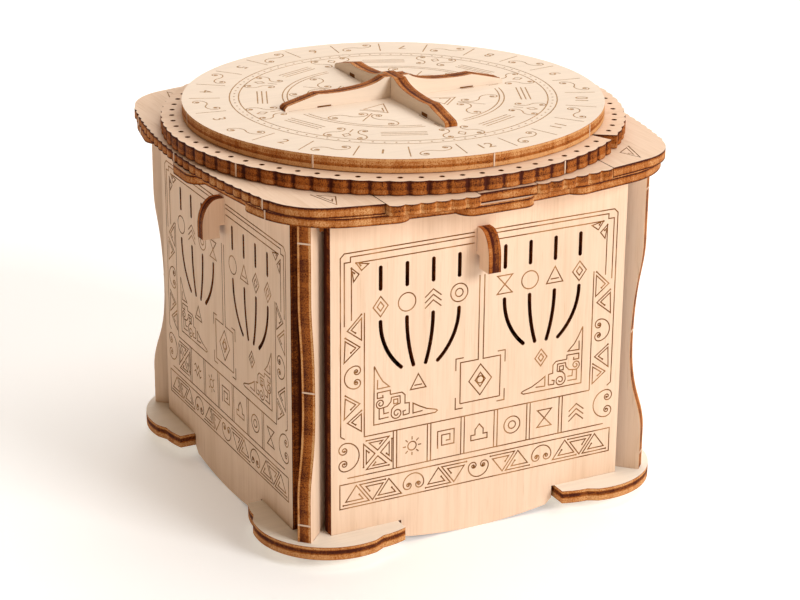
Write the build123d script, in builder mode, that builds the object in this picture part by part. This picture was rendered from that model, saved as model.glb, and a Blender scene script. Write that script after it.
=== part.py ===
# A wooden puzzle box: a square plywood case, a lift-off lid with a dial, a toothed ring and four bolts.
# Millimetres, +Z up, the origin on the floor under the middle of the case, the front at -Y.
import math
import os

from build123d import *

os.makedirs("parts", exist_ok=True)

# Sheets and gaps
ply = 4.0  # dial, ring, case and works
lid_ply = 3.0  # the two layers of the lid
fit = 0.1  # beside a tab in its slot
run = 0.05  # around a turning shaft or hub
play = 0.3  # between other moving pieces

# Case
case_half = 56.0  # middle of the box to the outer face of a panel
lid_seat = 102.9  # floor to the top of the panels
base_lift = 3.6  # floor to the underside of the base plate
post_gap = 1.0  # beside a corner post, to the ends of the panels
tab_width = 10.8  # panel tab that goes through the base
bulge_share = 0.53  # half width of a panel's lower bulge, as a share of the panel's half width
bulge_rise = 1.9  # height of the bulge's ends over its lowest point

# Slots cut in the panels
slot_width = 1.2
slot_pitch = 8.3
slot_gather = 0.47  # spacing at the foot of the curved slots, as a share of the pitch
group_middle = 19.85
upper_slot_middle = 83.6
upper_slot_length = 7.5
lower_slot_top = 70.6
lower_slot_foot = 55.8

# Feet of the base plate
foot_end_share = 0.47  # as shares of the case half
foot_neck_share = 0.61
foot_bump_share = 0.665
foot_start = 4.7  # reach past the panels' faces
foot_neck = 6.3
foot_reach = 7.95
foot_corner = 1.9
foot_swell = 0.35  # how far a foot's end bows out

# Corner posts, measured along the diagonal
post_inner_lead = 10.0  # further out than a panel's inner face
post_foot_lead = 23.8  # further out than a panel's outer face
post_waist_lead = 19.4
post_top_lead = 22.0
post_tab = 5.0

# Knobs that stand on edge in the panels
tail_low = 87.0
tail_height = 6.5
tail_depth = 11.8  # behind a panel's inner face
knob_low = 82.1
knob_step = 85.9
knob_top = 94.1
knob_reach = 6.9
knob_flat = 1.8
knob_stand_off = 1.6  # of the grip's lower end, from the panel
peg_radius = 1.5
peg_length = 10.0
key_travel = 4.0
guide_width = 24.0
guide_low = 81.0

# Lid outline
side_reach_middle = 69.3  # middle of the box to the middle of a side
side_drop = 6.9  # how much less it is at the corners
edge_half = 52.0  # along a side, where that drop is reached
corner_start = 50.0  # along a side, where the upper layer's corner begins
lower_corner_start = 45.0
side_cut = 36.1  # joints beside the toothed blocks
strip_half = 9.2
lobe_proud = 1.1  # reach of a lobe past the middle of its side
lobe_run = 5.0  # length of a lobe's rounded end
recess_inset = 2.6  # between the lobes, behind the upper layer's edge
front_lobe_middle = -2.5  # along a front or back edge, seen from outside
front_lobe_half = 7.0
front_left_lobe = 33.0  # middle of the edge to the lobe under its left corner
front_right_lobe = 27.0
side_lobe_middle = 4.3  # along a left or right edge, seen from outside
side_lobe_half = 3.5
side_left_lobe = 34.0
side_right_lobe = 41.0

# Teeth
block_tooth_depth = 0.85
side_tooth_depth = 0.5
side_teeth = 24
block_teeth = 6
ring_teeth = 80

# Sliding toothed blocks
block_depth = 13.7  # middle of a side to the inner end of a block
block_travel = 3.0
block_drawn = 2.0  # how far two of the four stand out
block_peg_inset = 10.8  # middle of a side to a block's peg
groove_depth = 2.2
peg_clearance = 0.2  # under a block's peg, in its groove

# Ring, hub and dial
hub_radius = 49.95
ring_valley = 68.6
ring_tooth_depth = 0.6
dot_circle = 65.8
dot_radius = 0.6
dot_count = 72
dot_phase = -0.4
notch_angle = -50.4
notch_width = 4.6
notch_root = 61.0
dial_radius = 62.8
washer_radius = 14.0
washer_thickness = 0.5
dial_gap = 0.1

# Handle
fin_half = 36.2
fin_crown = 6.5
fin_shoulder = 25.5
fin_shoulder_height = 4.0
fin_dip = 15.0
fin_dip_height = 3.9
fin_end_height = 1.5
fin_end_cut = 0.8
fin_crown_slope = 0.65  # fall per length beside the crown
fin_shoulder_slope = 0.1
fin_tab_depth = 3.6
fin_tabs = ((23.7, 4.4), (32.6, 3.2))  # middle and length
slot_spare = 0.7  # slot longer than its tab at each end

# Works under the lid
shaft_radius = 5.0
shaft_depth = 2.5  # into the dial
tenon = 7.0
spigot_radius = 3.0
collar_radius = 8.0
cam_inset = 6.0  # inside the rim frame's opening
cam_drop = 0.5
pin_radius = 2.0
pin_start = 17.0
bolt_throw = 6.0
dial_turn = 60.0
bolt_width = 12.0
bolt_inner = 10.0
bolt_inset = 1.0  # a drawn bolt, inside the rim frame's opening
rail_width = 4.0
rail_inner = 12.0
carrier_inset = 2.0  # inside the rim frame's opening
carrier_round = 4.0
pillar_inset = 6.5  # from the carrier's edges
pillar_radius = 4.0
spigot_length = 2.5
rim_ledge = 12.0  # width of the rim frame, in from the panels
rim_round = 3.0

# Heights and places that follow from the sizes above
base_top = base_lift + ply
inner_face = case_half - ply
post_inner = inner_face + post_inner_lead
post_foot = case_half + post_foot_lead
post_waist = case_half + post_waist_lead
post_top = case_half + post_top_lead
rim_open = inner_face - rim_ledge
tail_inner = inner_face - tail_depth
cam_radius = rim_open - cam_inset
bolt_outer = rim_open - bolt_inset
carrier_half = rim_open - carrier_inset
pillar_spot = carrier_half - pillar_inset
panel_half = inner_face - math.sqrt(2) * (ply / 2 + post_gap)
bulge_half = panel_half * bulge_share
foot_end = case_half * foot_end_share
foot_neck_spot = case_half * foot_neck_share
foot_bump = case_half * foot_bump_share
upper_layer = lid_seat + lid_ply
lid_top = upper_layer + lid_ply
hub_top = lid_top + ply
ring_bottom = lid_top + play
ring_top = ring_bottom + ply
dial_bottom = hub_top + washer_thickness + dial_gap
dial_top = dial_bottom + ply
cam_top = lid_seat - cam_drop
cam_bottom = cam_top - ply
bolt_top = cam_bottom - play
bolt_bottom = bolt_top - ply
carrier_bottom = bolt_bottom - ply
rim_bottom = bolt_top + play
tail_middle = tail_low + tail_height / 2
cam_rise = bolt_throw / math.radians(dial_turn)
lobe_reach = side_reach_middle + lobe_proud
block_inner = side_reach_middle - block_depth
block_peg_reach = side_reach_middle - block_peg_inset
core_radius = block_inner - 2 * play
block_left_end = strip_half + play
block_right_end = side_cut - play
block_peg_spot = (block_left_end + block_right_end) / 2
sides = {"front": 0, "right": 90, "back": 180, "left": 270}
corners = {"back_right": 0, "back_left": 90, "front_left": 180, "front_right": 270}


def side_reach(along):
    """Reach of the lid's edge at a distance along a side from its middle."""
    return side_reach_middle - side_drop * (along / edge_half) ** 2


def turned(point, angle):
    """A flat point turned about the middle of the box."""
    cosine = math.cos(math.radians(angle))
    sine = math.sin(math.radians(angle))
    return (point[0] * cosine - point[1] * sine, point[0] * sine + point[1] * cosine)


def polar(radius, angle):
    """A flat point at a radius and an angle in degrees."""
    return (radius * math.cos(math.radians(angle)), radius * math.sin(math.radians(angle)))


def scallops(valleys, depth):
    """Rounded teeth between valley points that run with the solid on their left."""
    for first, second in zip(valleys, valleys[1:]):
        run_x = second[0] - first[0]
        run_y = second[1] - first[1]
        length = math.hypot(run_x, run_y)
        tip_x = (first[0] + second[0]) / 2 + depth * run_y / length
        tip_y = (first[1] + second[1]) / 2 - depth * run_x / length
        ThreePointArc(first, (tip_x, tip_y), second)


def keep(part, name):
    """Label a finished piece and write its file."""
    part.label = name
    export_step(part, f"parts/{name}.step")


# The case


def make_base_plate():
    """Floor of the box, with four rounded feet and slots for the panels' and posts' tabs."""
    swell_spot = (foot_end + foot_neck_spot) / 2
    swell_reach = case_half + (foot_start + foot_neck) / 2 + foot_swell
    with BuildPart() as piece:
        with BuildSketch(Plane.XY.offset(base_lift)):
            with BuildLine():
                for angle in sides.values():
                    inside = turned((inner_face, foot_end), angle)
                    start = turned((case_half + foot_start, foot_end), angle)
                    swell = turned((swell_reach, swell_spot), angle)
                    neck = turned((case_half + foot_neck, foot_neck_spot), angle)
                    bump = turned((case_half + foot_reach, foot_bump), angle)
                    corner = turned((case_half + foot_corner, case_half + foot_corner), angle)
                    far_bump = turned((foot_bump, case_half + foot_reach), angle)
                    far_neck = turned((foot_neck_spot, case_half + foot_neck), angle)
                    far_swell = turned((swell_spot, swell_reach), angle)
                    far_start = turned((foot_end, case_half + foot_start), angle)
                    far_inside = turned((foot_end, inner_face), angle)
                    following = turned((-foot_end, inner_face), angle)
                    Line(inside, start)
                    ThreePointArc(start, swell, neck)
                    Line(neck, bump)
                    ThreePointArc(bump, corner, far_bump)
                    Line(far_bump, far_neck)
                    ThreePointArc(far_neck, far_swell, far_start)
                    Polyline(far_start, far_inside, following)
            make_face()
            tab_spot = panel_half - tab_width / 2
            tab_line = case_half - ply / 2
            with PolarLocations(0, 4):
                with Locations((tab_spot, -tab_line), (-tab_spot, -tab_line)):
                    Rectangle(tab_width + 2 * fit, ply + 2 * fit, mode=Mode.SUBTRACT)
            with PolarLocations(post_foot - post_tab / 2 - 2, 4, start_angle=45):
                Rectangle(post_tab + 2 * fit, ply + 2 * fit, mode=Mode.SUBTRACT)
        extrude(amount=ply)
    return piece.part


def make_panel():
    """Front panel: tabs and a bulging lower edge, sixteen slots and the knob's hole."""
    low_half = bulge_half - bulge_rise
    curves = []
    for group in (-group_middle, group_middle):
        for step in (-1.5, -0.5, 0.5, 1.5):
            top = (group + step * slot_pitch, lower_slot_top)
            foot = (group + step * slot_pitch * slot_gather, lower_slot_foot)
            curves.append(TangentArc(top, foot, tangent=(0, -1)))
    with BuildPart() as piece:
        with BuildSketch(Plane.XZ.offset(case_half)):
            with BuildLine():
                Polyline(
                    (-panel_half, 0),
                    (-panel_half + tab_width, 0),
                    (-panel_half + tab_width, base_top),
                    (-bulge_half, base_top),
                    (-bulge_half, 2 * bulge_rise),
                    (-low_half, bulge_rise),
                )
                ThreePointArc((-low_half, bulge_rise), (0, 0), (low_half, bulge_rise))
                Polyline(
                    (low_half, bulge_rise),
                    (bulge_half, 2 * bulge_rise),
                    (bulge_half, base_top),
                    (panel_half - tab_width, base_top),
                    (panel_half - tab_width, 0),
                    (panel_half, 0),
                    (panel_half, lid_seat),
                    (-panel_half, lid_seat),
                    (-panel_half, 0),
                )
            make_face()
            with Locations((0, tail_middle)):
                Rectangle(ply + 2 * fit, tail_height + 2 * fit, mode=Mode.SUBTRACT)
            for group in (-group_middle, group_middle):
                with Locations((group, upper_slot_middle)):
                    with GridLocations(slot_pitch, 1, 4, 1):
                        SlotOverall(upper_slot_length, slot_width, rotation=90, mode=Mode.SUBTRACT)
            for curve in curves:
                SlotArc(curve, slot_width, mode=Mode.SUBTRACT)
        extrude(amount=-ply)
    return piece.part


def make_post():
    """Corner post on the diagonal, with a waved outer edge and a tab in the base."""
    tall = lid_seat - play - base_top
    tab_outer = post_foot - 2
    diagonal = Plane(origin=(0, 0, 0), x_dir=(1, 1, 0), z_dir=(1, -1, 0))
    with BuildPart() as piece:
        with BuildSketch(diagonal):
            with BuildLine():
                wave = Spline(
                    (post_foot, base_top + 0.13 * tall),
                    (post_foot * 0.35 + post_waist * 0.65, base_top + 0.27 * tall),
                    (post_waist, base_top + 0.46 * tall),
                    (post_top * 0.5 + post_waist * 0.5, base_top + 0.64 * tall),
                    (post_top, base_top + 0.77 * tall),
                    tangents=((0, 1), (0, 1)),
                )
                Polyline(
                    wave @ 1,
                    (post_top, base_top + tall),
                    (post_inner, base_top + tall),
                    (post_inner, base_top),
                    (tab_outer - post_tab, base_top),
                    (tab_outer - post_tab, base_lift),
                    (tab_outer, base_lift),
                    (tab_outer, base_top),
                    (post_foot, base_top),
                    wave @ 0,
                )
            make_face()
        extrude(amount=ply / 2, both=True)
    return piece.part


def make_rim_frame():
    """Frame inside the top of the case that the bolts catch under."""
    slot_length = math.sqrt(2) * inner_face - post_inner + 2 * ply
    with BuildPart() as piece:
        with BuildSketch(Plane.XY.offset(rim_bottom)):
            Rectangle(2 * inner_face, 2 * inner_face)
            RectangleRounded(2 * rim_open, 2 * rim_open, rim_round, mode=Mode.SUBTRACT)
            with PolarLocations(post_inner - fit + slot_length / 2, 4, start_angle=45):
                Rectangle(slot_length, ply + 2 * fit, mode=Mode.SUBTRACT)
        extrude(amount=ply)
    return piece.part


def make_key_guide():
    """Block behind the front panel that guides a knob's tail and carries the rim frame."""
    with BuildPart() as piece:
        with BuildSketch(Plane.XZ.offset(inner_face)):
            with Locations((0, (guide_low + rim_bottom) / 2)):
                Rectangle(guide_width, rim_bottom - guide_low)
            with Locations((0, tail_middle)):
                Rectangle(ply + 2 * fit, tail_height + 2 * fit, mode=Mode.SUBTRACT)
        extrude(amount=-ply)
    return piece.part


# The knobs


def make_key():
    """Front knob on edge: a rounded grip outside, a tail through the panel and its guide."""
    tip = case_half + knob_reach
    peg_line = inner_face - ply - key_travel - peg_radius
    with BuildPart() as piece:
        with BuildSketch(Plane.YZ):
            with BuildLine():
                Polyline(
                    (-tail_inner, tail_low + tail_height),
                    (-tail_inner, tail_low),
                    (-case_half, tail_low),
                    (-case_half, knob_step),
                    (-case_half - knob_stand_off, knob_step),
                    (-case_half - knob_stand_off, knob_low),
                    (-tip, knob_low),
                    (-tip, knob_step),
                )
                EllipticalCenterArc(
                    (-case_half - knob_flat, knob_step),
                    knob_reach - knob_flat,
                    knob_top - knob_step,
                    start_angle=90,
                    arc_size=90,
                )
                Polyline(
                    (-case_half - knob_flat, knob_top),
                    (-case_half, knob_top),
                    (-case_half, tail_low + tail_height),
                    (-tail_inner, tail_low + tail_height),
                )
            make_face()
            with Locations((-peg_line, tail_middle)):
                Circle(peg_radius + run, mode=Mode.SUBTRACT)
        extrude(amount=ply / 2, both=True)
    return piece.part


def make_key_peg():
    """Peg across the front knob's tail that stops it at its guide."""
    peg_line = inner_face - ply - key_travel - peg_radius
    with BuildPart() as piece:
        with BuildSketch(Plane.YZ):
            with Locations((-peg_line, tail_middle)):
                Circle(peg_radius)
        extrude(amount=peg_length / 2, both=True)
    return piece.part


# The lid


def recess_point(along):
    """Point of the lower layer's edge between its lobes, on the front edge."""
    return (along, recess_inset - side_reach(along))


def lobe_end(tip, foot, angle):
    """Rounded end of a lobe from its tip to the recess, turned to a side."""
    share = math.sqrt(0.5)
    bulge = (tip[0] + (foot[0] - tip[0]) * share, foot[1] + (tip[1] - foot[1]) * share)
    ThreePointArc(turned(tip, angle), turned(bulge, angle), turned(foot, angle))


def lid_corner(start, angle):
    """Rounded corner from the front to the right edge of a lid layer, in line with both edges."""
    reach = side_reach(start)
    lean = math.atan(2 * side_drop * start / edge_half**2)
    half_turn = math.radians(45) - lean
    radius = (reach - start) / math.sqrt(2) / math.sin(half_turn)
    tip = (start + reach) / 2 + radius * (1 - math.cos(half_turn)) / math.sqrt(2)
    ThreePointArc(
        turned((start, -reach), angle),
        turned((tip, -tip), angle),
        turned((reach, -start), angle),
    )


def make_lid_plate():
    """Lower layer of the lid, with lobes under the corners and near the middle of each side."""
    start_reach = side_reach(lower_corner_start)
    front = (-front_left_lobe, front_lobe_middle, front_lobe_half, front_right_lobe)
    side = (-side_left_lobe, side_lobe_middle, side_lobe_half, side_right_lobe)
    layout = {"front": front, "right": side, "back": front, "left": side}
    with BuildPart() as piece:
        with BuildSketch(Plane.XY.offset(lid_seat)):
            with BuildLine():
                for name, angle in sides.items():
                    left, middle, half, right = layout[name]
                    left_tip = (left, -side_reach(left))
                    left_foot = recess_point(left + lobe_run)
                    first_foot = recess_point(middle - half - lobe_run)
                    first_tip = (middle - half, -lobe_reach)
                    last_tip = (middle + half, -lobe_reach)
                    last_foot = recess_point(middle + half + lobe_run)
                    right_foot = recess_point(right - lobe_run)
                    right_tip = (right, -side_reach(right))
                    Line(turned((-lower_corner_start, -start_reach), angle), turned(left_tip, angle))
                    lobe_end(left_tip, left_foot, angle)
                    Line(turned(left_foot, angle), turned(first_foot, angle))
                    lobe_end(first_tip, first_foot, angle)
                    Line(turned(first_tip, angle), turned(last_tip, angle))
                    lobe_end(last_tip, last_foot, angle)
                    Line(turned(last_foot, angle), turned(right_foot, angle))
                    lobe_end(right_tip, right_foot, angle)
                    Line(turned(right_tip, angle), turned((lower_corner_start, -start_reach), angle))
                    lid_corner(lower_corner_start, angle)
            make_face()
            Circle(shaft_radius + run, mode=Mode.SUBTRACT)
        extrude(amount=lid_ply)
        with BuildSketch(Plane.XY.offset(upper_layer)):
            for across in (-block_peg_spot, block_peg_spot):
                for along in (-1, 1):
                    spot = along * (block_peg_reach + block_travel / 2)
                    length = block_travel + 2 * (peg_radius + play)
                    with Locations((across, spot)):
                        SlotOverall(length, 2 * (peg_radius + play), rotation=90)
        extrude(amount=-groove_depth, mode=Mode.SUBTRACT)
        with BuildSketch(Plane.XY.offset(lid_seat)):
            with GridLocations(2 * pillar_spot, 2 * pillar_spot, 2, 2):
                Circle(spigot_radius + run)
        extrude(amount=spigot_length, mode=Mode.SUBTRACT)
    return piece.part


def make_lid_core():
    """Round middle of the lid's upper layer."""
    with BuildPart() as piece:
        with BuildSketch(Plane.XY.offset(upper_layer)):
            Circle(core_radius)
            Circle(shaft_radius + run, mode=Mode.SUBTRACT)
        extrude(amount=lid_ply)
    return piece.part


def make_lid_side():
    """Left plate of the lid's upper layer, both corners included, with a toothed outer edge."""
    core_line = core_radius + play
    core_half = math.sqrt(core_line**2 - side_cut**2)
    quarter = (side_cut + corner_start) / 2
    start_reach = side_reach(corner_start)
    steps = [corner_start - 2 * corner_start * count / side_teeth for count in range(side_teeth + 1)]
    with BuildPart() as piece:
        with BuildSketch(Plane.XY.offset(upper_layer)):
            with BuildLine():
                ThreePointArc(
                    (-side_cut, side_reach(side_cut)),
                    (-quarter, side_reach(quarter)),
                    (-corner_start, start_reach),
                )
                lid_corner(corner_start, 180)
                scallops([(-side_reach(step), step) for step in steps], side_tooth_depth)
                lid_corner(corner_start, 270)
                ThreePointArc(
                    (-corner_start, -start_reach),
                    (-quarter, -side_reach(quarter)),
                    (-side_cut, -side_reach(side_cut)),
                )
                Line((-side_cut, -side_reach(side_cut)), (-side_cut, -core_half))
                ThreePointArc((-side_cut, -core_half), (-core_line, 0), (-side_cut, core_half))
                Line((-side_cut, core_half), (-side_cut, side_reach(side_cut)))
            make_face()
        extrude(amount=lid_ply)
    return piece.part


def make_lid_strip():
    """Plain front strip of the lid's upper layer, between two toothed blocks."""
    inner = core_radius + play
    with BuildPart() as piece:
        with BuildSketch(Plane.XY.offset(upper_layer)):
            with Locations((0, -(inner + side_reach_middle) / 2)):
                Rectangle(2 * strip_half, side_reach_middle - inner)
        extrude(amount=lid_ply)
    return piece.part


def make_tooth_block():
    """Front right toothed block that slides in the lid's upper layer, pushed in."""
    width = block_right_end - block_left_end
    steps = [block_left_end + width * count / block_teeth for count in range(block_teeth + 1)]
    with BuildPart() as piece:
        with BuildSketch(Plane.XY.offset(upper_layer)):
            with BuildLine():
                scallops([(step, -side_reach(step)) for step in steps], block_tooth_depth)
                Polyline(
                    (block_right_end, -side_reach(block_right_end)),
                    (block_right_end, -block_inner),
                    (block_left_end, -block_inner),
                    (block_left_end, -side_reach(block_left_end)),
                )
            make_face()
            with Locations((block_peg_spot, -block_peg_reach)):
                Circle(peg_radius + run, mode=Mode.SUBTRACT)
        extrude(amount=lid_ply)
    return piece.part


def make_block_peg():
    """Peg of the front right toothed block, down into a groove of the lower layer."""
    foot = upper_layer - groove_depth + peg_clearance
    with BuildPart() as piece:
        with BuildSketch(Plane.XY.offset(foot)):
            with Locations((block_peg_spot, -block_peg_reach)):
                Circle(peg_radius)
        extrude(amount=lid_top - foot)
    return piece.part


def make_hub_disc():
    """Fixed disc on the lid that the toothed ring turns on."""
    with BuildPart() as piece:
        with BuildSketch(Plane.XY.offset(lid_top)):
            Circle(hub_radius)
            Circle(shaft_radius + run, mode=Mode.SUBTRACT)
        extrude(amount=ply)
    return piece.part


def make_dial_washer():
    """Washer under the dial."""
    with BuildPart() as piece:
        with BuildSketch(Plane.XY.offset(hub_top)):
            Circle(washer_radius)
            Circle(shaft_radius + play, mode=Mode.SUBTRACT)
        extrude(amount=washer_thickness)
    return piece.part


def make_carrier_plate():
    """Plate hung under the lid that the bolts lie on."""
    with BuildPart() as piece:
        with BuildSketch(Plane.XY.offset(carrier_bottom)):
            RectangleRounded(2 * carrier_half, 2 * carrier_half, carrier_round)
        extrude(amount=ply)
        with BuildSketch(Plane.XY.offset(bolt_bottom)):
            with GridLocations(2 * pillar_spot, 2 * pillar_spot, 2, 2):
                Circle(spigot_radius + run)
        extrude(amount=-spigot_length, mode=Mode.SUBTRACT)
    return piece.part


def make_guide_rails():
    """Eight rails on the carrier, two beside each bolt."""
    length = carrier_half - rail_inner
    offset = bolt_width / 2 + fit + rail_width / 2
    with BuildPart() as piece:
        with BuildSketch(Plane.XY.offset(bolt_bottom)):
            with PolarLocations(0, 4):
                with Locations(
                    (rail_inner + length / 2, offset),
                    (rail_inner + length / 2, -offset),
                ):
                    Rectangle(length, rail_width)
        extrude(amount=ply)
    return piece.part


def make_pillars():
    """Four pillars with spigots, between the lid and the carrier."""
    with BuildPart() as piece:
        with BuildSketch(Plane.XY.offset(bolt_bottom)):
            with GridLocations(2 * pillar_spot, 2 * pillar_spot, 2, 2):
                Circle(pillar_radius)
        extrude(amount=lid_seat - bolt_bottom)
        with BuildSketch(Plane.XY.offset(bolt_bottom - spigot_length)):
            with GridLocations(2 * pillar_spot, 2 * pillar_spot, 2, 2):
                Circle(spigot_radius)
        extrude(amount=lid_seat - bolt_bottom + 2 * spigot_length)
    return piece.part


# The ring


def make_ring():
    """Toothed ring on the hub, with a row of small holes and a notch."""
    pitch = 360 / ring_teeth
    valleys = [polar(ring_valley, notch_angle + count * pitch) for count in range(ring_teeth)]
    dots = []
    for count in range(dot_count):
        angle = count * 360 / dot_count + dot_phase
        away = (angle - notch_angle + 180) % 360 - 180
        if abs(away) > notch_width / 2:
            dots.append(polar(dot_circle, angle))
    outside = ring_valley + 3 * ring_tooth_depth
    with BuildPart() as piece:
        with BuildSketch(Plane.XY.offset(ring_bottom)):
            with BuildLine():
                scallops(valleys + valleys[:1], ring_tooth_depth)
            make_face()
            Circle(hub_radius + run, mode=Mode.SUBTRACT)
            with Locations(*dots):
                Circle(dot_radius, mode=Mode.SUBTRACT)
            with BuildLine():
                Polyline(
                    polar(notch_root, notch_angle),
                    polar(outside, notch_angle - notch_width / 2),
                    polar(outside, notch_angle + notch_width / 2),
                    polar(notch_root, notch_angle),
                )
            make_face(mode=Mode.SUBTRACT)
        extrude(amount=ply)
    return piece.part


# The dial and what turns with it


def make_dial():
    """Dial disc with slots for the handle's tabs and a blind hole for the shaft."""
    with BuildPart() as piece:
        with BuildSketch(Plane.XY.offset(dial_bottom)):
            Circle(dial_radius)
            for middle, length in fin_tabs:
                with PolarLocations(middle, 4):
                    Rectangle(length + 2 * slot_spare, ply + 2 * fit, mode=Mode.SUBTRACT)
        extrude(amount=ply)
        with BuildSketch(Plane.XY.offset(dial_bottom)):
            Circle(shaft_radius + run)
        extrude(amount=shaft_depth, mode=Mode.SUBTRACT)
    return piece.part


def make_fin(plane, slot_from_top):
    """One fin of the handle, slotted at half height where the two cross."""
    tab_height = dial_top - fin_tab_depth / 2
    slot_share = 0.75 if slot_from_top else 0.25
    with BuildPart() as piece:
        with BuildSketch(plane.offset(-ply / 2)):
            with BuildLine():
                for side in (-1, 1):
                    sweep = Spline(
                        (side * ply, dial_top + fin_crown),
                        (side * fin_dip, dial_top + fin_dip_height),
                        (side * fin_shoulder, dial_top + fin_shoulder_height),
                        tangents=((side, -fin_crown_slope), (side, fin_shoulder_slope)),
                    )
                    Polyline(
                        sweep @ 1,
                        (side * (fin_half - fin_end_cut), dial_top + fin_end_height),
                        (side * fin_half, dial_top + fin_end_height / 2),
                        (side * fin_half, dial_top),
                        (0, dial_top),
                    )
                Line((-ply, dial_top + fin_crown), (ply, dial_top + fin_crown))
            make_face()
            for middle, length in fin_tabs:
                with Locations((middle, tab_height), (-middle, tab_height)):
                    Rectangle(length, fin_tab_depth)
            with Locations((0, dial_top + fin_crown * slot_share)):
                Rectangle(ply + 2 * fit, fin_crown / 2 + fit, mode=Mode.SUBTRACT)
        extrude(amount=ply)
    return piece.part


def make_shaft():
    """Drive shaft from the dial to the cam, with a square tenon and a round spigot."""
    with BuildPart() as piece:
        with BuildSketch(Plane.XY.offset(cam_top)):
            Circle(shaft_radius)
        extrude(amount=dial_bottom + shaft_depth - cam_top)
        with BuildSketch(Plane.XY.offset(cam_bottom)):
            Rectangle(tenon, tenon)
        extrude(amount=ply)
        with BuildSketch(Plane.XY.offset(bolt_bottom + play)):
            Circle(spigot_radius)
        extrude(amount=cam_bottom - bolt_bottom - play)
    return piece.part


def make_collar():
    """Collar on the shaft's spigot that holds the cam plate up."""
    with BuildPart() as piece:
        with BuildSketch(Plane.XY.offset(bolt_bottom + play)):
            Circle(collar_radius)
            Circle(spigot_radius + run, mode=Mode.SUBTRACT)
        extrude(amount=cam_bottom - bolt_bottom - play)
    return piece.part


def make_cam_plate():
    """Cam plate with four spiral slots that push the bolts out evenly as it turns."""
    samples = 12
    half = pin_radius + play
    middle = []
    outer = []
    inner = []
    ahead = []
    for count in range(samples + 1):
        turn = math.radians(dial_turn) * count / samples
        radius = pin_start + cam_rise * turn
        spot = Vector(radius * math.cos(turn), -radius * math.sin(turn))
        along = Vector(
            cam_rise * math.cos(turn) - radius * math.sin(turn),
            -cam_rise * math.sin(turn) - radius * math.cos(turn),
        ).normalized()
        across = Vector(-along.Y, along.X)
        middle.append(spot)
        ahead.append(along)
        outer.append(spot + across * half)
        inner.append(spot - across * half)
    with BuildPart() as piece:
        with BuildSketch(Plane.XY.offset(cam_bottom)):
            Circle(cam_radius)
            Rectangle(tenon + 2 * fit, tenon + 2 * fit, mode=Mode.SUBTRACT)
            with BuildSketch(mode=Mode.PRIVATE) as slot:
                with BuildLine():
                    Spline(*outer)
                    ThreePointArc(outer[-1], middle[-1] + ahead[-1] * half, inner[-1])
                    Spline(*reversed(inner))
                    ThreePointArc(inner[0], middle[0] - ahead[0] * half, outer[0])
                make_face()
            with PolarLocations(0, 4):
                add(slot.sketch, mode=Mode.SUBTRACT)
        extrude(amount=ply)
    return piece.part


def make_bolt():
    """Front bolt, drawn in."""
    with BuildPart() as piece:
        with BuildSketch(Plane.XY.offset(bolt_bottom)):
            with Locations((0, -(bolt_inner + bolt_outer) / 2)):
                Rectangle(bolt_width, bolt_outer - bolt_inner)
            with Locations((0, -pin_start)):
                Circle(pin_radius + run, mode=Mode.SUBTRACT)
        extrude(amount=ply)
    return piece.part


def make_bolt_pin():
    """Pin of the front bolt, up into the cam's slot."""
    foot = bolt_bottom + play
    with BuildPart() as piece:
        with BuildSketch(Plane.XY.offset(foot)):
            with Locations((0, -pin_start)):
                Circle(pin_radius)
        extrude(amount=cam_top - play - foot)
    return piece.part


keep(make_base_plate(), "base_plate")
panel = make_panel()
for side, angle in sides.items():
    keep(Rot(0, 0, angle) * panel, f"panel_{side}")
post = make_post()
for corner_name, angle in corners.items():
    keep(Rot(0, 0, angle) * post, f"post_{corner_name}")
keep(make_rim_frame(), "rim_frame")
guide = make_key_guide()
with BuildPart() as guides:
    with PolarLocations(0, 4):
        add(guide)
keep(guides.part, "key_guides")

key = make_key()
key_peg = make_key_peg()
for side, angle in sides.items():
    keep(Rot(0, 0, angle) * key, f"key_{side}")
    keep(Rot(0, 0, angle) * key_peg, f"key_peg_{side}")

keep(make_lid_plate(), "lid_plate")
keep(make_lid_core(), "lid_core")
lid_side = make_lid_side()
keep(Rot(0, 0, 0) * lid_side, "lid_side_left")
keep(Rot(0, 0, 180) * lid_side, "lid_side_right")
strip = make_lid_strip()
keep(Rot(0, 0, 0) * strip, "lid_strip_front")
keep(Rot(0, 0, 180) * strip, "lid_strip_back")
keep(make_hub_disc(), "hub_disc")
keep(make_dial_washer(), "dial_washer")
keep(make_carrier_plate(), "carrier_plate")
keep(make_guide_rails(), "guide_rails")
keep(make_pillars(), "pillars")

block = make_tooth_block()
block_peg = make_block_peg()
drawn = Pos(0, -block_drawn, 0)
keep(Rot(0, 0, 0) * block, "block_front_right")
keep(Rot(0, 0, 0) * block_peg, "block_peg_front_right")
keep(Rot(0, 0, 180) * block, "block_back_left")
keep(Rot(0, 0, 180) * block_peg, "block_peg_back_left")
block_mirrored = mirror(block, about=Plane.YZ)
block_peg_mirrored = mirror(block_peg, about=Plane.YZ)
keep(drawn * block_mirrored, "block_front_left")
keep(drawn * block_peg_mirrored, "block_peg_front_left")
keep(Rot(0, 0, 180) * drawn * block_mirrored, "block_back_right")
keep(Rot(0, 0, 180) * drawn * block_peg_mirrored, "block_peg_back_right")

keep(make_ring(), "toothed_ring")

keep(make_dial(), "dial_disc")
keep(make_fin(Plane.XZ, True), "handle_fin_across")
keep(make_fin(Plane.YZ, False), "handle_fin_along")
keep(make_shaft(), "drive_shaft")
keep(make_collar(), "shaft_collar")
keep(make_cam_plate(), "cam_plate")

bolt = make_bolt()
bolt_pin = make_bolt_pin()
for side, angle in sides.items():
    keep(Rot(0, 0, angle) * bolt, f"bolt_{side}")
    keep(Rot(0, 0, angle) * bolt_pin, f"bolt_pin_{side}")
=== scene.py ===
"""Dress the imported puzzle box: cut plywood with burnt edges, engraved panels and dial, and a plain stage."""

import math

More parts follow.
